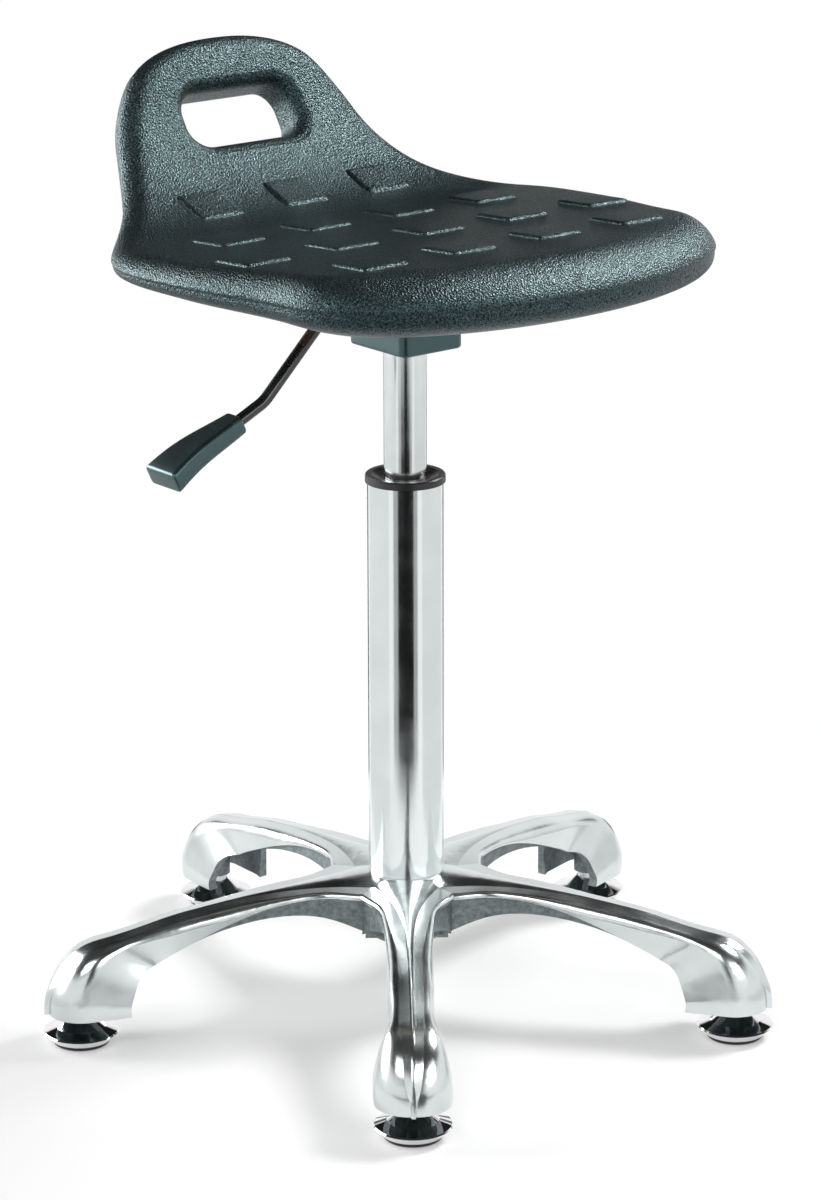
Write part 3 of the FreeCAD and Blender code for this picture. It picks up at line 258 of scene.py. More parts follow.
def outline_loop():
    """Rim points (x, s), from the front left corner to the right and round."""

    def front_at(angle):
        return FRONT_CORNER * (1 - math.cos(angle))

    def top_at(angle):
        return LENGTH - HANDLE_CORNER * (1 - math.cos(angle))

    def end(place_at):
        """A rounded end, from its left corner through the tip to its right corner."""
        half = SEAT_ACROSS // 2
        places = [place_at(END_TURN * k / half) for k in range(half + 1)]
        spots = [(half_width(s), s) for s in places]
        return [(-x, s) for x, s in reversed(spots)] + spots[1:]

    low, high = front_at(END_TURN), top_at(END_TURN)
    steps = [low + (high - low) * k / SIDE_STEPS for k in range(SIDE_STEPS + 1)]
    trail = [(half_width(s), s) for s in steps]
    lengths = [0.0]
    for before, here in zip(trail, trail[1:]):
        lengths.append(lengths[-1] + math.dist(before, here))
    right = []
    for k in range(1, SEAT_ALONG):
        want = lengths[-1] * k / SEAT_ALONG
        i = max(j for j in range(SIDE_STEPS) if lengths[j] <= want + 1e-9)
        share = (want - lengths[i]) / (lengths[i + 1] - lengths[i])
        s = steps[i] + (steps[i + 1] - steps[i]) * min(share, 1.0)
        right.append((half_width(s), s))
    left = [(-x, s) for x, s in reversed(right)]
    return end(front_at) + right + list(reversed(end(top_at))) + left


def inward(loop):
    """Unit directions into the seat at each rim point, evened out along the rim."""
    count = len(loop)
    normals = []
    for k in range(count):
        (x0, s0), (x1, s1) = loop[k - 1], loop[(k + 1) % count]
        run = math.hypot(x1 - x0, s1 - s0)
        normals.append(Vector((-(s1 - s0) / run, (x1 - x0) / run)))
    for _ in range(EVENING_ROUNDS):
        normals = [(normals[k - 1] + normals[k] * 2 + normals[(k + 1) % count]).normalized()
                   for k in range(count)]
    return normals


def coons(ring):
    """Grid points inside a ring that starts at the front left corner and runs to the right."""
    across, along = SEAT_ACROSS, SEAT_ALONG
    front = ring[:across + 1]
    right = ring[across:across + along + 1]
    top = list(reversed(ring[across + along:2 * across + along + 1]))
    left = [ring[0]] + list(reversed(ring[2 * across + along:]))
    grid = []
    for j in range(along + 1):
        v = j / along
        row = []
        for i in range(across + 1):
            u = i / across
            row.append(front[i] * (1 - v) + top[i] * v + left[j] * (1 - u) + right[j] * u
                       - front[0] * (1 - u) * (1 - v) - front[-1] * u * (1 - v)
                       - top[0] * (1 - u) * v - top[-1] * u * v)
        grid.append(row)
    return grid


def add_quad(mesh, quad, side):
    mesh.faces.new(quad if side > 0 else list(reversed(quad)))


def close_skin(mesh, spots, ring, side):
    """Fills a skin inside its last ring: the sitting face (side 1) or the underside (-1)."""
    across, along = SEAT_ACROSS, SEAT_ALONG
    points = {}
    for i in range(across + 1):
        points[(i, 0)] = ring[i]
        points[(i, along)] = ring[2 * across + along - i]
    for j in range(1, along):
        points[(across, j)] = ring[across + j]
        points[(0, j)] = ring[len(ring) - j]
    for j, row in enumerate(coons(spots)):
        for i, p in enumerate(row):
            if (i, j) in points:
                continue
            bulge = (1 - (2 * i / across - 1) ** 2) * (1 - (2 * j / along - 1) ** CROWN_END_POWER)
            lift = skin_level(p.y, side) + side * SIT_CROWN * bulge
            points[(i, j)] = mesh.verts.new(on_seat(p.x, p.y, lift))
    for j in range(along):
        for i in range(across):
            add_quad(mesh, [points[(i, j)], points[(i + 1, j)],
                            points[(i + 1, j + 1)], points[(i, j + 1)]], side)


def seat_shell():
    """The closed moulding without hole, pads and recess: two skins that meet at the parting line."""
    loop = [Vector(p) for p in outline_loop()]
    normals = inward(loop)
    count = len(loop)
    rolls = [eased(ROLLS, p.y) for p in loop]
    levels = [rise((p + n * roll).y) for p, n, roll in zip(loop, normals, rolls)]
    starts = [roll * (1 - math.cos(PARTING_TURN)) for roll in rolls]
    line = [level * math.sin(PARTING_TURN) for level in levels]
    stepped = [start + PARTING_STEP for start in starts]

    upper = []
    for k in range(1, ROLL_RINGS + 1):
        angle = PARTING_TURN + (math.pi / 2 - PARTING_TURN) * k / ROLL_RINGS
        upper.append(([roll * (1 - math.cos(angle)) for roll in rolls],
                      [level * math.sin(angle) for level in levels]))
    lower = [(stepped, [lift - PARTING_DROP for lift in line]),
             (stepped, [lift / 2 for lift in line]),
             (stepped, [0.0] * count)]
    for k in range(1, TUCK_RINGS + 1):
        angle = math.pi / 2 * k / TUCK_RINGS
        lower.append(([start + eased(TAPERS, p.y) * (1 - math.cos(angle))
                       for p, start in zip(loop, stepped)],
                      [-eased(DEPTHS, p.y) * math.sin(angle) for p in loop]))

    mesh = bmesh.new()

    def ring_of(insets, lifts):
        spots = [p + n * inset for p, n, inset in zip(loop, normals, insets)]
        return spots, [mesh.verts.new(on_seat(p.x, p.y, lift)) for p, lift in zip(spots, lifts)]

    rim = ring_of(starts, line)[1]
    for side, rings in ((1, upper), (-1, lower)):
        last = rim
        for insets, lifts in rings:
            spots, ring = ring_of(insets, lifts)
            for i in range(count):
                after = (i + 1) % count
                add_quad(mesh, [last[i], last[after], ring[after], ring[i]], side)
            last = ring
        close_skin(mesh, spots, last, side)
    return mesh


def finished(name, mesh):
    """An object from a bmesh, with its normals turned outward."""
    bmesh.ops.recalc_face_normals(mesh, faces=mesh.faces)
    data = bpy.data.meshes.new(name)
    mesh.to_mesh(data)
    mesh.free()
    obj = bpy.data.objects.new(name, data)
    bpy.context.scene.collection.objects.link(obj)
    return obj


def apply_modifiers(obj):
    graph = bpy.context.evaluated_depsgraph_get()
    data = bpy.data.meshes.new_from_object(obj.evaluated_get(graph))
    obj.modifiers.clear()
    obj.data = data


def combine(obj, tool, operation):
    """Joins or cuts with another object, which is used up."""
    step = obj.modifiers.new("step", "BOOLEAN")
    step.operation = operation
    step.solver = "EXACT"
    step.object = tool
    apply_modifiers(obj)
    data = tool.data
    bpy.data.objects.remove(tool)
    bpy.data.meshes.remove(data)


def smooth_faces(obj):
    for face in obj.data.polygons:
        face.use_smooth = True
    obj.data.set_sharp_from_angle(angle=SHARP_ANGLE)


def rounded_rectangle(half_w, half_h, corner, steps):
    """Points of a rounded rectangle, anticlockwise, with steps intervals in each corner."""
    points = []
    for sx, sy, start in ((1, -1, -90), (1, 1, 0), (-1, 1, 90), (-1, -1, 180)):
        for k in range(steps + 1):
            angle = math.radians(start + 90 * k / steps)
            points.append((sx * (half_w - corner) + corner * math.cos(angle),
                           sy * (half_h - corner) + corner * math.sin(angle)))
    return points


def tube_of(rings):
    """A closed solid through rings with the same number of points."""
    mesh = bmesh.new()
    loops = [[mesh.verts.new(p) for p in ring] for ring in rings]
    count = len(rings[0])
    for low, high in zip(loops, loops[1:]):
        for k in range(count):
            mesh.faces.new([low[k], low[(k + 1) % count], high[(k + 1) % count], high[k]])
    mesh.faces.new(list(reversed(loops[0])))
    mesh.faces.new(loops[-1])
    return mesh


def hole_frame():
    """The flat frame at the hole's middle: its origin and the directions along and out of the seat."""
    turn = (HOLE_S - RUN) / BEND_R
    along = Vector((0, math.cos(turn), math.sin(turn)))
    out = Vector((0, -math.sin(turn), math.cos(turn)))
    return on_seat(0.0, HOLE_S, 0.0), along, out


def face_level(forward, side):
    """Height of the handle's front (side 1) or back (-1) face over the hole's flat frame."""
    origin, along, out = hole_frame()
    s = HOLE_S + forward
    for _ in range(LEVEL_ROUNDS):
        lift = skin_level(s, side) + side * SIT_CROWN * HOLE_CROWN_SHARE
        offset = (on_seat(0.0, s, lift) - origin) / MM
        s += (forward - offset.dot(along)) * LEVEL_STEP
    return offset.dot(out)


def hole_cutter():
    """The grip hole's inside, with a rounded mouth that follows the handle's two faces."""
    origin, along, out = hole_frame()
    mouth = [(-HOLE_PROUD, HOLE_RIM + HOLE_FLARE)]
    for k in range(MOUTH_STEPS + 1):
        angle = math.radians(MOUTH_START + (90 - MOUTH_START) * k / MOUTH_STEPS)
        mouth.append((HOLE_RIM * (1 - math.cos(angle)), HOLE_RIM * (1 - math.sin(angle))))

    def ring_at(side, depth, grow):
        half_w, half_h = HOLE_HALF_W + grow, HOLE_HALF_H + grow
        ring = []
        for x, forward in rounded_rectangle(half_w, half_h, half_h * HOLE_CORNER_SHARE,
                                            HOLE_CORNER_STEPS):
            lift = face_level(forward, side) - side * depth
            ring.append(origin + (Vector((x, 0, 0)) + along * forward + out * lift) * MM)
        return ring

    back = [ring_at(-1, depth, grow) for depth, grow in mouth]
    front = [ring_at(1, depth, grow) for depth, grow in reversed(mouth)]
    return tube_of(back + front)


def recess_cutter():
    """The recess under the pan for the insert board and the plate."""
    low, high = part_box("seat_insert_board")
    margin = RECESS_MARGIN * MM
    shape = rounded_rectangle(high.x + margin, high.y + margin, RECESS_CORNER * MM,
                              RECESS_CORNER_STEPS)
    return tube_of([[Vector((x, y, z)) for x, y in shape]
                    for z in (low.z - RECESS_BELOW * MM, high.z + margin)])


def pad_solid(x, s):
    """One raised square with rounded top edges, sunk into the sitting face."""
    rings = []
    for height, inset in PAD_PROFILE:
        half = PAD_SIDE / 2 - inset
        corner = max(PAD_CORNER - inset * PAD_CORNER_SHRINK, PAD_CORNER_LEAST)
        ring = []
        for dx, ds in rounded_rectangle(half, half, corner, PAD_CORNER_STEPS):
            bulge = SIT_CROWN * (1 - ((x + dx) / half_width(s + ds)) ** 2)
            ring.append(on_seat(x + dx, s + ds, rise(s + ds) + bulge + height))
        rings.append(ring)
    return tube_of(rings)


def seat():
    """The moulding: the shell with one subdivision, then recess, grip hole and pads."""
    obj = finished("seat_cushion", seat_shell())
    smooth = obj.modifiers.new("smooth", "SUBSURF")
    smooth.levels = 1
    smooth.render_levels = 1
    apply_modifiers(obj)
    combine(obj, finished("recess_tool", recess_cutter()), "DIFFERENCE")
    combine(obj, finished("hole_tool", hole_cutter()), "DIFFERENCE")
    for row, count in enumerate(PAD_ROWS):
        for k in range(count):
            x = (k - (count - 1) / 2) * PAD_PITCH
            pad = pad_solid(x, PAD_FIRST_S + PAD_ROW_PITCH * row)
            combine(obj, finished("pad_tool", pad), "UNION")
    smooth_faces(obj)
    return obj


def lever_paddle():
    """The paddle: it widens towards its free end, bows upward a little and has rounded ends."""
    along = Vector((-math.cos(GRIP_SLOPE), 0, -math.sin(GRIP_SLOPE)))
    up = Vector((-math.sin(GRIP_SLOPE), 0, math.cos(GRIP_SLOPE)))
    knee = Vector((-LEVER_KNEE_X, 0, LEVER_KNEE_Z))
    start, end = [(x - LEVER_KNEE_X) / math.cos(GRIP_SLOPE) for x in (GRIP_START_X, GRIP_END_X)]
    length = end - start
    rounding = []
    for k in range(GRIP_ROUND_STEPS + 1):
        angle = math.radians(90 * k / GRIP_ROUND_STEPS)
        rounding.append((GRIP_ROUND * (1 - math.sin(angle)), GRIP_ROUND * (1 - math.cos(angle))))
    stations = list(reversed(rounding))
    stations += [(GRIP_ROUND + (length - 2 * GRIP_ROUND) * k / GRIP_STEPS, 0.0)
                 for k in range(1, GRIP_STEPS)]
    stations += [(length - gap, inset) for gap, inset in rounding]
    rings = []
    for place, inset in stations:
        share = place / length
        bow = GRIP_BOW * math.sin(math.pi * share ** GRIP_BOW_POWER)
        middle = knee + along * (start + place) + up * bow
        widening = share + GRIP_WAIST * math.sin(math.pi * share)
        half_w = (GRIP_START_W + (GRIP_END_W - GRIP_START_W) * widening) / 2 - inset
        half_t = GRIP_THICKNESS * (GRIP_THINNEST + (1 - GRIP_THINNEST) * share) / 2 - inset
        corner = GRIP_CORNER - inset * GRIP_CORNER_SHRINK
        rings.append([(middle + Vector((0, across, 0)) + up * lift) * MM
                      for across, lift in rounded_rectangle(half_w, half_t, corner, GRIP_CORNER_STEPS)])
    obj = finished("lever_paddle", tube_of(rings))
    smooth_faces(obj)
    return obj


class Nodes:
    """Short calls for the nodes of one tree."""

    def __init__(self, tree):
        self.tree = tree

    def node(self, kind, **settings):
        made = self.tree.nodes.new(kind)
        for key, value in settings.items():
            setattr(made, key, value)
        return made

    def link(self, source, target):
        """Connects a socket, or sets a constant on the target itself."""
        if hasattr(source, "links"):
            self.tree.links.new(source, target)
        else:
            target.default_value = source

    def maths(self, operation, *values):
        made = self.node("ShaderNodeMath", operation=operation)
        for value, socket in zip(values, made.inputs):
            self.link(value, socket)
        return made.outputs[0]

    def between(self, value, low, high, start=0.0, end=1.0, curve="LINEAR"):
        """Maps start..end of a value to low..high."""
        made = self.node("ShaderNodeMapRange", interpolation_type=curve)
        for name, number in (("From Min", start), ("From Max", end), ("To Min", low), ("To Max", high)):
            made.inputs[name].default_value = number
        self.link(value, made.inputs["Value"])
        return made.outputs[0]

    def split(self, source):
        made = self.node("ShaderNodeSeparateXYZ")
        self.link(source, made.inputs[0])
        return made.outputs


class Shader(Nodes):
    """A node material with short calls for textures and colours."""

    def __init__(self, name):
        self.material = bpy.data.materials.new(name)
        self.material.use_nodes = True
        super().__init__(self.material.node_tree)
        self.bsdf = self.tree.nodes["Principled BSDF"]
        spot = self.node("ShaderNodeTexCoord")
        self.place = spot.outputs["Object"]
        self.facing = spot.outputs["Normal"]

    def set(self, **values):
        for key, value in values.items():
            self.link(value, self.bsdf.inputs[key.replace("_", " ")])

    def noise(self, scale, detail, roughness=0.5, stretch=None):
        made = self.node("ShaderNodeTexNoise")
        made.inputs["Scale"].default_value = scale
        made.inputs["Detail"].default_value = detail
        made.inputs["Roughness"].default_value = roughness
        spot = self.place
        if stretch:
            mapping = self.node("ShaderNodeMapping")
            mapping.inputs["Scale"].default_value = stretch
            self.link(spot, mapping.inputs["Vector"])
            spot = mapping.outputs[0]
        self.link(spot, made.inputs["Vector"])
        return made.outputs["Fac"]

    def cells(self, scale):
        made = self.node("ShaderNodeTexVoronoi")
        made.inputs["Scale"].default_value = scale
        self.link(self.place, made.inputs["Vector"])
        return made.outputs["Distance"]

    def spread(self, texture, low, high):
        """Low to high over the middle of a noise texture's values."""
        return self.between(texture, low, high, *NOISE_SPAN)

    def mixed(self, value, low, high):
        """A mix of two colours, each a triple or a socket."""
        made = self.node("ShaderNodeMix", data_type="RGBA")
        ends = [socket for socket in made.inputs if socket.type == "RGBA"]
        self.link(value, made.inputs["Factor"])
        for colour, socket in zip((low, high), ends):
            self.link(colour if hasattr(colour, "links") else (*colour, 1.0), socket)
        return [socket for socket in made.outputs if socket.type == "RGBA"][0]

    def colours(self, texture, low, high):
        return self.mixed(self.spread(texture, 0.0, 1.0), low, high)

    def bump(self, height, strength, distance):
        made = self.node("ShaderNodeBump")
        made.inputs["Strength"].default_value = strength
        made.inputs["Distance"].default_value = distance
        self.link(height, made.inputs["Height"])
        self.link(made.outputs[0], self.bsdf.inputs["Normal"])


def chrome(name, tone, rough):
    """Bright metal: a slow drift in tone and roughness, and faint lines round the upright axis."""
    shader = Shader(name)
    drift = shader.noise(scale=35.0, detail=4.0)
    lines = shader.noise(scale=600.0, detail=2.0, stretch=(0.02, 0.02, 1.0))
    shader.set(Metallic=1.0, Base_Color=shader.colours(drift, [t * 0.93 for t in tone], tone))
    shader.set(Roughness=shader.spread(drift, rough * 0.7, rough * 1.4))
    shader.bump(lines, strength=0.02, distance=0.0002)
    return shader.material


def painted(name, dark, pale, rough, grain=900.0, strength=0.12, gloss=0.5, tint=NEUTRAL, ior=1.5):
    """Paint, plastic, rubber or wood: a slow drift between two tones and a fine grain."""
    shader = Shader(name)
    speck = shader.noise(scale=grain, detail=3.0)
    drift = shader.noise(scale=28.0, detail=3.0)
    shader.set(Base_Color=shader.colours(drift, dark, pale))
    shader.set(Roughness=shader.spread(drift, rough * 0.85, rough * 1.15))
    shader.set(Specular_IOR_Level=gloss, Specular_Tint=(*tint, 1.0), IOR=ior)
    shader.bump(speck, strength, distance=0.0003)
    return shader.material


def seat_skin():
    """Moulded skin: pebbles about a millimetre wide, with specks that are paler and shinier."""
    shader = Shader("seat_skin")
    maths = shader.maths
    pebbles = shader.cells(scale=780.0)
    fine = shader.noise(scale=1500.0, detail=2.0)
    specks = shader.noise(scale=950.0, detail=2.0)
    grain = maths("ADD", maths("MULTIPLY", pebbles, 0.9), maths("MULTIPLY", fine, 0.6))
    shader.set(Base_Color=shader.colours(specks, *SKIN_TONES))
    shader.set(Roughness=shader.spread(fine, *SKIN_ROUGHNESS))
    shader.set(Specular_IOR_Level=shader.between(specks, *SKIN_GLOSS, *SKIN_SPECK_SPAN))
    shader.set(Specular_Tint=(*TEAL, 1.0))
    shader.bump(grain, strength=0.75, distance=0.00062)
    return shader.material


def cast_and_shade_mask(shader):
    """1 where the base is rough and unpolished, on the webs, the hollows and below, where it is also painted
    darker as shade; 0 where it is polished.
    """
    maths = shader.maths
    x, y, z = [maths("MULTIPLY", part, 1 / MM) for part in shader.split(shader.place)]
    facing = shader.split(shader.facing)
    r = maths("SQRT", maths("ADD", maths("MULTIPLY", x, x), maths("MULTIPLY", y, y)))
    angle = maths("DEGREES", maths("ARCTAN2", y, x))
    past = maths("SUBTRACT", angle, ARM_FIRST - ARM_PITCH / 2)
    local = maths("SUBTRACT", maths("FLOORED_MODULO", past, ARM_PITCH), ARM_PITCH / 2)
    arm = maths("RADIANS", maths("SUBTRACT", angle, local))
    cosine, sine = maths("COSINE", arm), maths("SINE", arm)

    def across_arm(first, second):
        return maths("SUBTRACT", maths("MULTIPLY", second, cosine), maths("MULTIPLY", first, sine))

    def along_arm(first, second):
        return maths("ADD", maths("MULTIPLY", first, cosine), maths("MULTIPLY", second, sine))

    def share_from(start, end):
        past_start = maths("MAXIMUM", maths("SUBTRACT", r, start), 0.0)
        return maths("DIVIDE", past_start, end - start)

    fall = maths("POWER", share_from(ARM_ROOT_R, ARM_KNEE_R), 2.0)
    top = maths("SUBTRACT", ARM_ROOT_Z, maths("MULTIPLY", fall, ARM_DROP))
    growth = maths("POWER", share_from(ARM_LIP_R, ARM_HEEL_R), ARM_FULL_POWER)
    depth = maths("ADD", ARM_LIP, maths("MULTIPLY", growth, ARM_FULL - ARM_LIP))
    under_lip = maths("SUBTRACT", maths("SUBTRACT", top, depth), z)
    web = maths("MULTIPLY", shader.between(under_lip, 0.0, 1.0, *LIP_LINE),
                maths("LESS_THAN", r, ARM_HEEL_R))
    # Faces turned down or into the arm's channel count as unpolished and take the painted shade.
    below = maths("LESS_THAN", facing[2], FACING_DOWN)
    turned = maths("MULTIPLY", across_arm(facing[0], facing[1]), maths("SIGN", across_arm(x, y)))
    inside = maths("LESS_THAN", turned, FACING_INWARD)
    toe = maths("MULTIPLY", maths("LESS_THAN", along_arm(facing[0], facing[1]), FACING_INWARD),
                maths("GREATER_THAN", r, ARM_HEEL_R))
    return maths("MAXIMUM", maths("MAXIMUM", web, below), maths("MAXIMUM", inside, toe))


def casting():
    """Polished aluminium above the lip line of the arms; rough and unpolished below it, in a darker tone that
    is painted shade.
    """
    shader = Shader("polished_casting")
    maths = shader.maths
    drift = shader.noise(scale=40.0, detail=4.0)
    brushed = shader.noise(scale=420.0, detail=2.0)
    pits = shader.noise(scale=260.0, detail=5.0, roughness=0.7)
    cast_and_shade = cast_and_shade_mask(shader)
    bright = shader.colours(drift, *POLISHED_TONES)
    # Painted shade: the unpolished faces under and inside the arms get a dark tone.
    dull_and_shaded = shader.colours(pits, *CAST_AND_SHADE_TONES)
    shader.set(Metallic=1.0, Base_Color=shader.mixed(cast_and_shade, bright, dull_and_shaded))
    smooth = shader.spread(drift, *POLISHED_ROUGHNESS)
    shader.set(Roughness=maths("ADD", smooth, maths("MULTIPLY", cast_and_shade, CAST_EXTRA_ROUGHNESS)))
    pitted = maths("MULTIPLY", maths("MULTIPLY", pits, cast_and_shade), 0.8)
    height = maths("ADD", maths("MULTIPLY", brushed, 0.03), pitted)
    shader.bump(height, strength=0.5, distance=0.0006)
    return shader.material


def dress(names, material):
    for name in names:
        node = frame["nodes"][name]
        node.data.materials.clear()
        node.data.materials.append(material)


def each(stem):
    return [f"{stem}_{k}" for k in range(1, 6)]


tube_chrome = chrome("tube_chrome", (0.83, 0.88, 0.88), rough=0.13)
cylinder_chrome = chrome("cylinder_chrome", (0.78, 0.82, 0.82), rough=0.16)
glide_chrome = chrome("glide_chrome", (0.88, 0.88, 0.89), rough=0.06)
plain_steel = chrome("plain_steel", (0.62, 0.63, 0.65), rough=0.28)
cage_brass = chrome("cage_brass", (0.72, 0.55, 0.28), rough=0.25)
collar_plastic = painted("collar_plastic", (0.014, 0.014, 0.015), (0.022, 0.022, 0.023), rough=0.35)
black_paint = painted("black_paint", *BLACK_TONES, rough=0.30, strength=0.06, gloss=1.0, tint=TEAL, ior=1.6)
lever_paint = painted("lever_metal", (0.005, 0.005, 0.006), (0.009, 0.009, 0.010), rough=0.22,
                      strength=0.02, gloss=0.8)
grip_plastic = painted("grip_plastic", *BLACK_TONES, rough=0.36, strength=0.10, gloss=1.0, tint=TEAL, ior=1.6)
rubber = painted("black_rubber", (0.010, 0.010, 0.010), (0.018, 0.018, 0.018), rough=0.62,
                 grain=500.0, strength=0.3)
wood = painted("insert_wood", (0.30, 0.19, 0.10), (0.46, 0.31, 0.18), rough=0.6,
               grain=200.0, strength=0.2)

dress(["outer_tube"], tube_chrome)
dress(["gas_cylinder"], cylinder_chrome)
dress(each("glide_cap"), glide_chrome)
dress(each("glide_pad") + ["rubber_bumper", "piston_ring"], rubber)
dress(each("glide_stem") + ["column_end_plate", "lower_race", "upper_race", "thrust_balls", "piston_rod",
                            "retaining_clip", "piston", "rod_guide", "valve_button", "mechanism_bolts",
                            "t_nuts", "taper_socket", "lever_pivot_pin"], plain_steel)
dress(["ball_cage"], cage_brass)
dress(["column_collar", "guide_bush"], collar_plastic)
dress(["mechanism_housing", "mechanism_plate"], black_paint)
dress(["lever_rod"], lever_paint)
dress(["lever_grip"], grip_plastic)
dress(["seat_insert_board"], wood)
dress(["base_casting"], casting())

cushion = seat()
cushion.data.materials.clear()
cushion.data.materials.append(seat_skin())
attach(cushion, "seat")
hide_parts("seat_moulding")

paddle = lever_paddle()
paddle.data.materials.append(grip_plastic)
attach(paddle, "lever")
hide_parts("lever_grip")


def floor():
    """A pale floor that keeps the shadow near the chair, is white further out and clear from below."""
    mesh = bmesh.new()
    bmesh.ops.create_grid(mesh, x_segments=2, y_segments=2, size=FLOOR_SIZE)
    obj = finished("floor", mesh)
    obj.location.z = FLOOR_Z
    shader = Shader("pale_floor")
    maths = shader.maths
    shader.set(Base_Color=FLOOR_TONE, Roughness=0.9, Specular_IOR_Level=0.1)
    path = shader.node("ShaderNodeLightPath").outputs
    seen = maths("MAXIMUM", path["Is Camera Ray"], path["Is Glossy Ray"])
    seen = maths("MAXIMUM", seen, path["Is Transmission Ray"])
    x, y, _ = shader.split(shader.place)
    distance = maths("SQRT", maths("ADD", maths("POWER", x, 2.0), maths("POWER", y, 2.0)))
    white = maths("MULTIPLY", seen, shader.between(distance, SHADOW_GLOW, 1.0, *SHADOW_REACH))
    glow = shader.node("ShaderNodeEmission")
    glow.inputs["Color"].default_value = WHITE

    def mixed_shader(share, first, second):
        mix = shader.node("ShaderNodeMixShader")
        for source, socket in zip((share, first.outputs[0], second.outputs[0]), mix.inputs):
            shader.link(source, socket)
        return mix

    above = mixed_shader(white, shader.bsdf, glow)
    from_below = shader.node("ShaderNodeNewGeometry").outputs["Backfacing"]
    surface = mixed_shader(from_below, above, shader.node("ShaderNodeBsdfTransparent"))
    shader.link(surface.outputs[0], shader.tree.nodes["Material Output"].inputs["Surface"])
    obj.data.materials.append(shader.material)


def world():
    """White for the camera; metal sees a white horizon under a dark ceiling; an even fill for the rest."""
    made = bpy.data.worlds.new("studio")
    bpy.context.scene.world = made
    made.use_nodes = True
    nodes = Nodes(made.node_tree)
    maths = nodes.maths
    path = nodes.node("ShaderNodeLightPath").outputs
    up = nodes.split(nodes.node("ShaderNodeTexCoord").outputs["Generated"])[2]
    ceiling = nodes.between(up, 1.0, CEILING_LEVEL, CEILING_START, CEILING_END, "SMOOTHSTEP")
    mirror = maths("MAXIMUM", path["Is Glossy Ray"], path["Is Transmission Ray"])
    level = maths("MAXIMUM", maths("MULTIPLY", mirror, ceiling), path["Is Camera Ray"])
    plain = maths("SUBTRACT", 1.0, maths("MAXIMUM", mirror, path["Is Camera Ray"]))
    level = maths("ADD", level, maths("MULTIPLY", plain, FILL_LEVEL))
    back = made.node_tree.nodes["Background"].inputs
    back["Color"].default_value = WHITE
    nodes.link(level, back["Strength"])


def round_point(azimuth, distance, height):
    """A point round the chair: azimuth in degrees from the camera, positive to its right."""
    angle = math.radians(-90 + FRONT_TURN + azimuth)
    return (distance * math.cos(angle), distance * math.sin(angle), height)


def lamp(name, azimuth, distance, height, target_z, size, power):
    """A soft lamp that is aimed at the chair's axis."""
    data = bpy.data.lights.new(name, "AREA")
    data.shape = "RECTANGLE"
    data.size, data.size_y = size
    data.energy = power
    obj = bpy.data.objects.new(name, data)
    bpy.context.scene.collection.objects.link(obj)
    obj.location = round_point(azimuth, distance, height)
    aim = Vector((0, 0, target_z)) - obj.location
    obj.rotation_euler = aim.to_track_quat("-Z", "Y").to_euler()


def card(name, corners, level):
    """A studio card of an even grey that only reflections see."""
    mesh = bmesh.new()
    mesh.faces.new([mesh.verts.new(corner) for corner in corners])
    obj = finished(name, mesh)
    shader = Shader(name)
    shader.set(Base_Color=BLACK, Roughness=1.0, Specular_IOR_Level=0.0)
    shader.set(Emission_Color=(level, level, level, 1.0), Emission_Strength=1.0)
    obj.data.materials.append(shader.material)
    obj.visible_camera = False
    obj.visible_diffuse = False
    obj.visible_shadow = False
    obj.visible_transmission = False


def floor_card(name, azimuth, half_angle, near, far, level=FLAG_LEVEL, height=0.004):
    """A wedge on the floor, which the column shows as an upright stripe."""
    card(name, [round_point(azimuth + side * half_angle, distance, height)
                for side, distance in ((-1, near), (1, near), (1, far), (-1, far))], level)


def wall_card(name, azimuth, distance, half_w, low, high, level=FLAG_LEVEL):
    """An upright card that faces the chair."""
    middle = Vector(round_point(azimuth, distance, 0.0))
    across = Vector((-middle.y, middle.x, 0.0)).normalized() * half_w
    card(name, [middle + across * side + Vector((0, 0, z))
                for side, z in ((-1, low), (1, low), (1, high), (-1, high))], level)


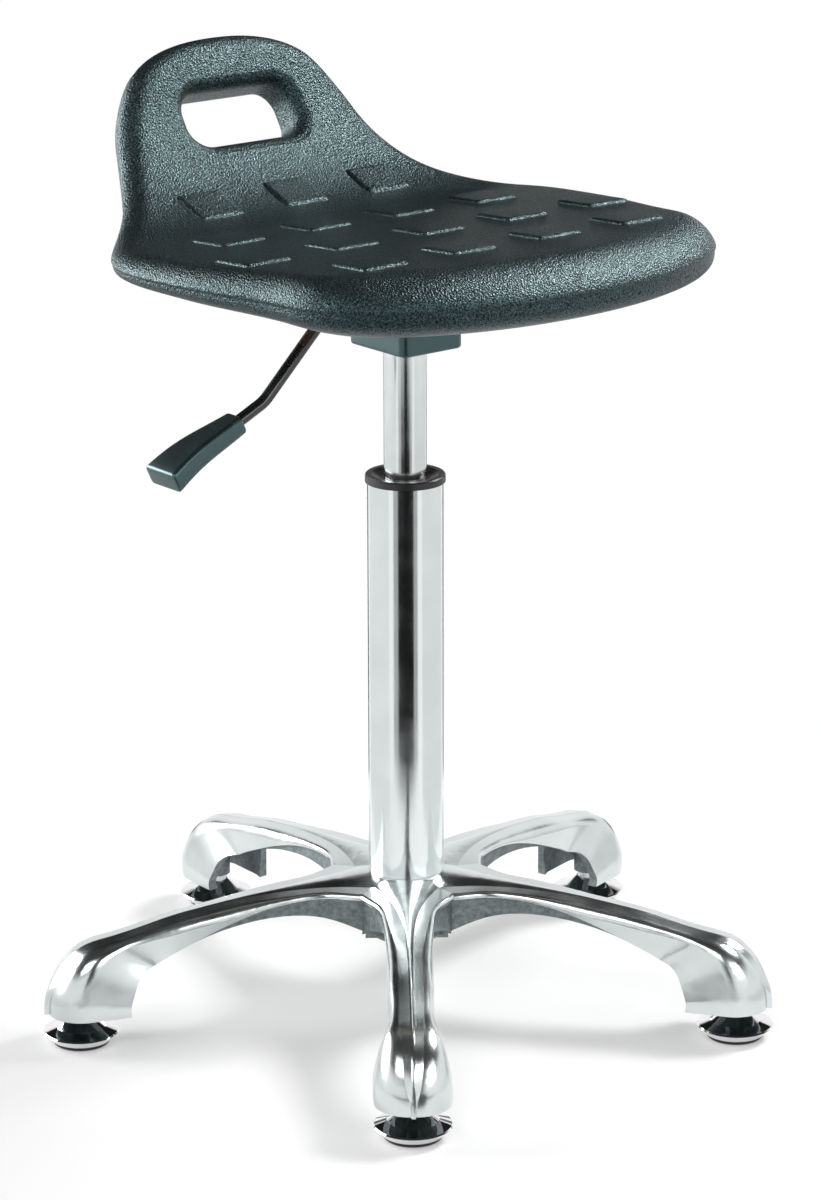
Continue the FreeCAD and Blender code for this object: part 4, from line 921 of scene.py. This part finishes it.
floor()
world()
lamp("right_back", azimuth=114, distance=1.75, height=2.15, target_z=0.5, size=(0.8, 0.7), power=54)
lamp("left_panel", azimuth=-104, distance=1.9, height=0.95, target_z=0.5, size=(0.9, 1.3), power=22)
lamp("front_fill", azimuth=-20, distance=2.6, height=2.4, target_z=0.4, size=(1.6, 1.2), power=26)
# Dark wedges: for the stripe down the column's tube, its soft sides and the lines near the tube's edges.
floor_card("flag_front", azimuth=1, half_angle=23.0, near=0.52, far=1.9)
floor_card("flag_soft", azimuth=0, half_angle=36.0, near=0.52, far=1.9, level=0.42, height=0.0035)
floor_card("flag_left", azimuth=-154, half_angle=6.0, near=0.45, far=1.9)
floor_card("flag_right", azimuth=154, half_angle=6.0, near=0.45, far=1.9)
# Pale grey wedges to both sides, which keep the metal off pure white.
floor_card("grey_left", azimuth=-92, half_angle=42.0, near=0.42, far=2.4, level=0.84, height=0.003)
floor_card("grey_right", azimuth=92, half_angle=42.0, near=0.42, far=2.4, level=0.80, height=0.003)
# Dark cards: for the stripe's upper part, for the dark spike at the column's foot and behind the seat.
wall_card("flag_tall", azimuth=4, distance=0.9, half_w=0.14, low=0.10, high=0.60)
wall_card("flag_low", azimuth=5, distance=0.33, half_w=0.022, low=0.002, high=0.05)
wall_card("flag_back", azimuth=180, distance=1.0, half_w=1.1, low=0.58, high=1.7)
# Bright panels: for the highlights on the seat's front roll, its front and its left flank.
wall_card("panel_roll", azimuth=130, distance=2.0, half_w=0.42, low=1.75, high=2.5, level=32.0)
wall_card("panel_front", azimuth=42, distance=2.4, half_w=0.8, low=1.0, high=1.9, level=4.5)
wall_card("panel_left", azimuth=-104, distance=1.8, half_w=0.95, low=0.46, high=1.25, level=11.0)

camera = bpy.data.objects.new("camera", bpy.data.cameras.new("camera"))
bpy.context.scene.collection.objects.link(camera)
camera.data.sensor_fit = "VERTICAL"
camera.data.sensor_height = CAMERA_SENSOR
camera.data.lens = CAMERA_LENS
camera.location = CAMERA_PLACE
look = Matrix.Rotation(CAMERA_TURN, 4, "Z") @ Matrix.Rotation(CAMERA_TILT, 4, "X")
camera.rotation_euler = (look @ Matrix.Rotation(CAMERA_ROLL, 4, "Z")).to_euler()
bpy.context.scene.camera = camera
bpy.context.scene.view_settings.view_transform = "Standard"
